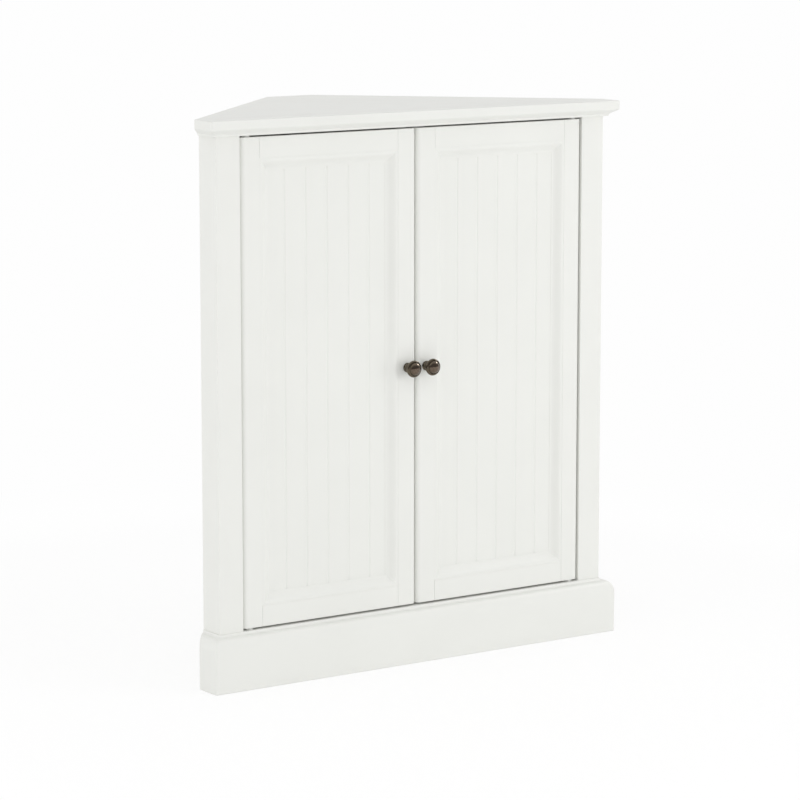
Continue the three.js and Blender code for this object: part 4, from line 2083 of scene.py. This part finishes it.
@dataclass
class Pivots(DoorPart):
    """The flanged pins in the case and the bushes in the door that turn on them."""

    seam: float = 0.3 * MM
    rim_ease: float = 0.25 * MM
    pin_radius: float = 2.5 * MM
    pin_length: float = 9 * MM
    plug_radius: float = 4 * MM
    plug_length: float = 10 * MM
    flange_radius: float = 6.5 * MM
    pivot_flange: float = 1.3 * MM
    bush_radius: float = 5 * MM
    bush_length: float = 12 * MM
    bush_flange: float = 1.2 * MM
    tip_steps: int = 5
    segments: int = 48

    def flanged(self, radius: float, length: float, flange_top: float) -> list[Point2]:
        """The part that the pivot and the bush have in common, height nought at its wood.

        Args:
            radius: The radius of what is let into the wood.
            length: How far it goes in.
            flange_top: The height of the flange on it.

        Returns:
            Radii and heights, from its end to the top of its flange.
        """
        rim, ease = self.flange_radius, self.rim_ease
        return [
            (0.0, -length),
            (radius, -length),
            (radius, self.seam),
            (rim - ease, self.seam),
            (rim, self.seam + ease),
            (rim, flange_top - ease),
            (rim - ease, flange_top),
        ]

    def pivot(self) -> Turned:
        """A plug, a flange and a pin.

        Returns:
            The turned shape, the case's face at height nought.
        """
        flange_top = self.seam + self.pivot_flange
        tip = flange_top + self.pin_length
        radius = self.pin_radius
        shoulder, crown = (radius, tip - radius / 2), (radius / 2, tip)
        profile = [
            *self.flanged(self.plug_radius, self.plug_length, flange_top),
            (radius, flange_top),
            *quarter(shoulder, crown, self.tip_steps, level_first=False),
            (0.0, tip),
        ]
        return Turned.unrubbed(profile, self.segments)

    def bush(self) -> Turned:
        """A flanged bush.

        Returns:
            The turned shape, open at its flange, the door's edge at height nought.
        """
        flange_top = self.seam + self.bush_flange
        bore = self.pin_radius + self.seam
        bore_bottom = -(self.pin_length + self.seam)
        profile = [
            *self.flanged(self.bush_radius, self.bush_length, flange_top),
            (bore + self.rim_ease, flange_top),
            (bore, flange_top - self.rim_ease),
            (bore, bore_bottom),
            (0.0, bore_bottom),
        ]
        return Turned.unrubbed(profile, self.segments)

    def build(self) -> None:
        """Turns the two pivots and the two bushes of one door."""
        pivot, bush = self.pivot(), self.bush()
        for end, inward in (("bottom", UP), ("top", DOWN)):
            self.turn(f"{end}_pivot", pivot, inward, self.plug_length, "case")
            self.turn(f"{end}_bush", bush, -inward, self.bush_length, self.side.body)

    def turn(self, name: str, shape: Turned, axis: Vector, buried: float, body: str) -> None:
        """Turns one piece in its CAD node's place.

        Args:
            name: The node's name without its side.
            shape: What is turned.
            axis: The way that its height grows.
            buried: How far it goes below height nought.
            body: The body that carries it.
        """
        node = self.side.node(name)
        box = Box.of(node)
        outer = box.low.z if axis.z > 0 else box.high.z
        base = Vector((box.middle.x, box.middle.y, outer + axis.z * buried))
        mesh = shape.mesh(f"{node}_turned", base, axis)
        self.add(f"{node}_turned", mesh, body, self.finishes.plastic, [node])


# The room and the camera


@dataclass(frozen=True)
class Softbox:
    """A square soft light that faces the middle of the cupboard.

    Gloss alone shows it if it is mirrored, and matt surfaces alone if it isn't.
    """

    name: str
    place: Point3
    size: float
    power: float
    mirrored: bool = False

    def build(self) -> None:
        """Hangs the light and turns it."""
        data = bpy.data.lights.new(self.name, "AREA")
        data.shape = "SQUARE"
        data.size = self.size
        data.energy = self.power
        light = in_scene(self.name, data)
        light.visible_camera = False
        light.visible_glossy = self.mirrored
        light.visible_diffuse = not self.mirrored
        target = Vector((0, 0, (CAD_BOX[0][2] + CAD_BOX[1][2]) / 2))
        place = Vector(self.place)
        light.location = place
        light.rotation_euler = (target - place).to_track_quat("-Z", "Y").to_euler()
        LOG.info("%s light placed", self.name)


@dataclass
class Studio:
    """A pale floor, soft light from the right and the photograph's point of view."""

    camera_place: Point3 = (-3.05892, -4.60644, 1.31981)
    azimuth: float = math.radians(34.35)
    pitch: float = math.radians(9.31)
    lens: float = 149.316
    sensor: float = 36.0
    backdrop: float = 0.99
    ambient: float = 0.818
    mirrored_front: float = 0.24
    mirrored_fade: float = 0.5
    floor_size: float = 30.0
    floor_colour: Colour = (0.95, 0.95, 0.95, 1)
    floor_lift: float = 0.66
    floor_glow: float = 1.072
    shadow_reach: float = 0.9
    shadow_fade: float = 0.6
    lights: tuple[Softbox, ...] = (
        Softbox("key", (2.4, -3.3, 0.6), size=2.4, power=39.0),
        Softbox("fill", (-3.6, -0.1, 0.6), size=2.0, power=17.4),
        Softbox("front", (-2.6, -3.9, 1.2), size=1.2, power=8.5),
        Softbox("glint", (3.0, -0.55, 2.3), size=0.7, power=30.0, mirrored=True),
    )

    def build(self) -> None:
        """Sets up the view, the world, the floor and the lights."""
        bpy.context.scene.view_settings.view_transform = "Standard"
        self.build_camera()
        self.build_world()
        self.build_floor()
        for light in self.lights:
            light.build()

    def build_camera(self) -> None:
        """Places the camera where the photograph was taken from."""
        data = bpy.data.cameras.new("camera")
        data.lens = self.lens
        data.sensor_width = self.sensor
        data.dof.use_dof = False
        camera = in_scene("camera", data)
        level = math.cos(self.pitch)
        across, along = math.sin(self.azimuth) * level, math.cos(self.azimuth) * level
        look = Vector((across, along, -math.sin(self.pitch)))
        camera.location = self.camera_place
        camera.rotation_euler = look.to_track_quat("-Z", "Y").to_euler()
        bpy.context.scene.camera = camera
        LOG.info("camera placed")

    def build_world(self) -> None:
        """Even light from all round, and a white backdrop for the camera alone."""
        world = bpy.data.worlds.new("world")
        bpy.context.scene.world = world
        sketch = Sketch.on(world)
        paths = sketch.add("ShaderNodeLightPath").outputs
        _, y, z = sketch.parts(sketch.add("ShaderNodeTexCoord").outputs["Generated"])
        behind = sketch.ramp(y + z, -self.mirrored_fade, self.mirrored_fade)
        mirrored = behind.picks(self.mirrored_front, self.backdrop)
        level = sketch.term(paths["Is Glossy Ray"]).picks(self.ambient, mirrored)
        level = sketch.term(paths["Is Camera Ray"]).picks(level, self.backdrop)
        inputs = {"Color": (1, 1, 1, 1), "Strength": level}
        light = sketch.add("ShaderNodeBackground", inputs)
        sketch.add("ShaderNodeOutputWorld", {"Surface": light})
        LOG.info("world lit")

    def build_floor(self) -> None:
        """A floor that keeps the shadow near the object and fades to the backdrop."""
        half = self.floor_size / 2
        mesh = bpy.data.meshes.new("floor")
        corners = [(-half, -half, 0), (half, -half, 0), (half, half, 0), (-half, half, 0)]
        mesh.from_pydata(corners, [], [(0, 1, 2, 3)])
        mesh.materials.append(self.floor_material())
        in_scene("floor", mesh)
        LOG.info("floor laid")

    def floor_material(self) -> bpy.types.Material:
        """Plain paint that the camera sees lifted, so that the shadow is as faint as the photo's.

        Returns:
            The material.
        """
        material = bpy.data.materials.new("floor")
        sketch = Sketch.on(material)
        x, y, _ = sketch.parts(sketch.add("ShaderNodeTexCoord").outputs["Object"])
        distance = sketch.math("SQRT", x * x + y * y)
        end = self.shadow_reach + self.shadow_fade
        far = sketch.ramp(distance, self.shadow_reach, end)
        seen = sketch.term(sketch.add("ShaderNodeLightPath").outputs["Is Camera Ray"])
        lift = far.picks(self.floor_lift, 1.0) * seen
        level = far.picks(self.floor_glow, self.backdrop)
        paint = sketch.add("ShaderNodeBsdfDiffuse", {"Color": self.floor_colour})
        glow = sketch.add("ShaderNodeEmission", {"Strength": level})
        mixed = sketch.add("ShaderNodeMixShader", {0: lift, 1: paint, 2: glow})
        sketch.add("ShaderNodeOutputMaterial", {"Surface": mixed})
        return material


def main() -> None:
    """Builds the sub-assemblies in order, then the studio."""
    logging.basicConfig(level=logging.INFO, format="%(name)s: %(message)s")
    workshop = Workshop()
    for kind in (TopBoard, Plinth, Case, Shelves, Catch):
        kind(workshop).build()
    for side in Side:
        for kind in (Door, Knob, Strike, Pivots):
            kind(workshop, side).build()
    Studio().build()


if __name__ == "__main__":
    main()
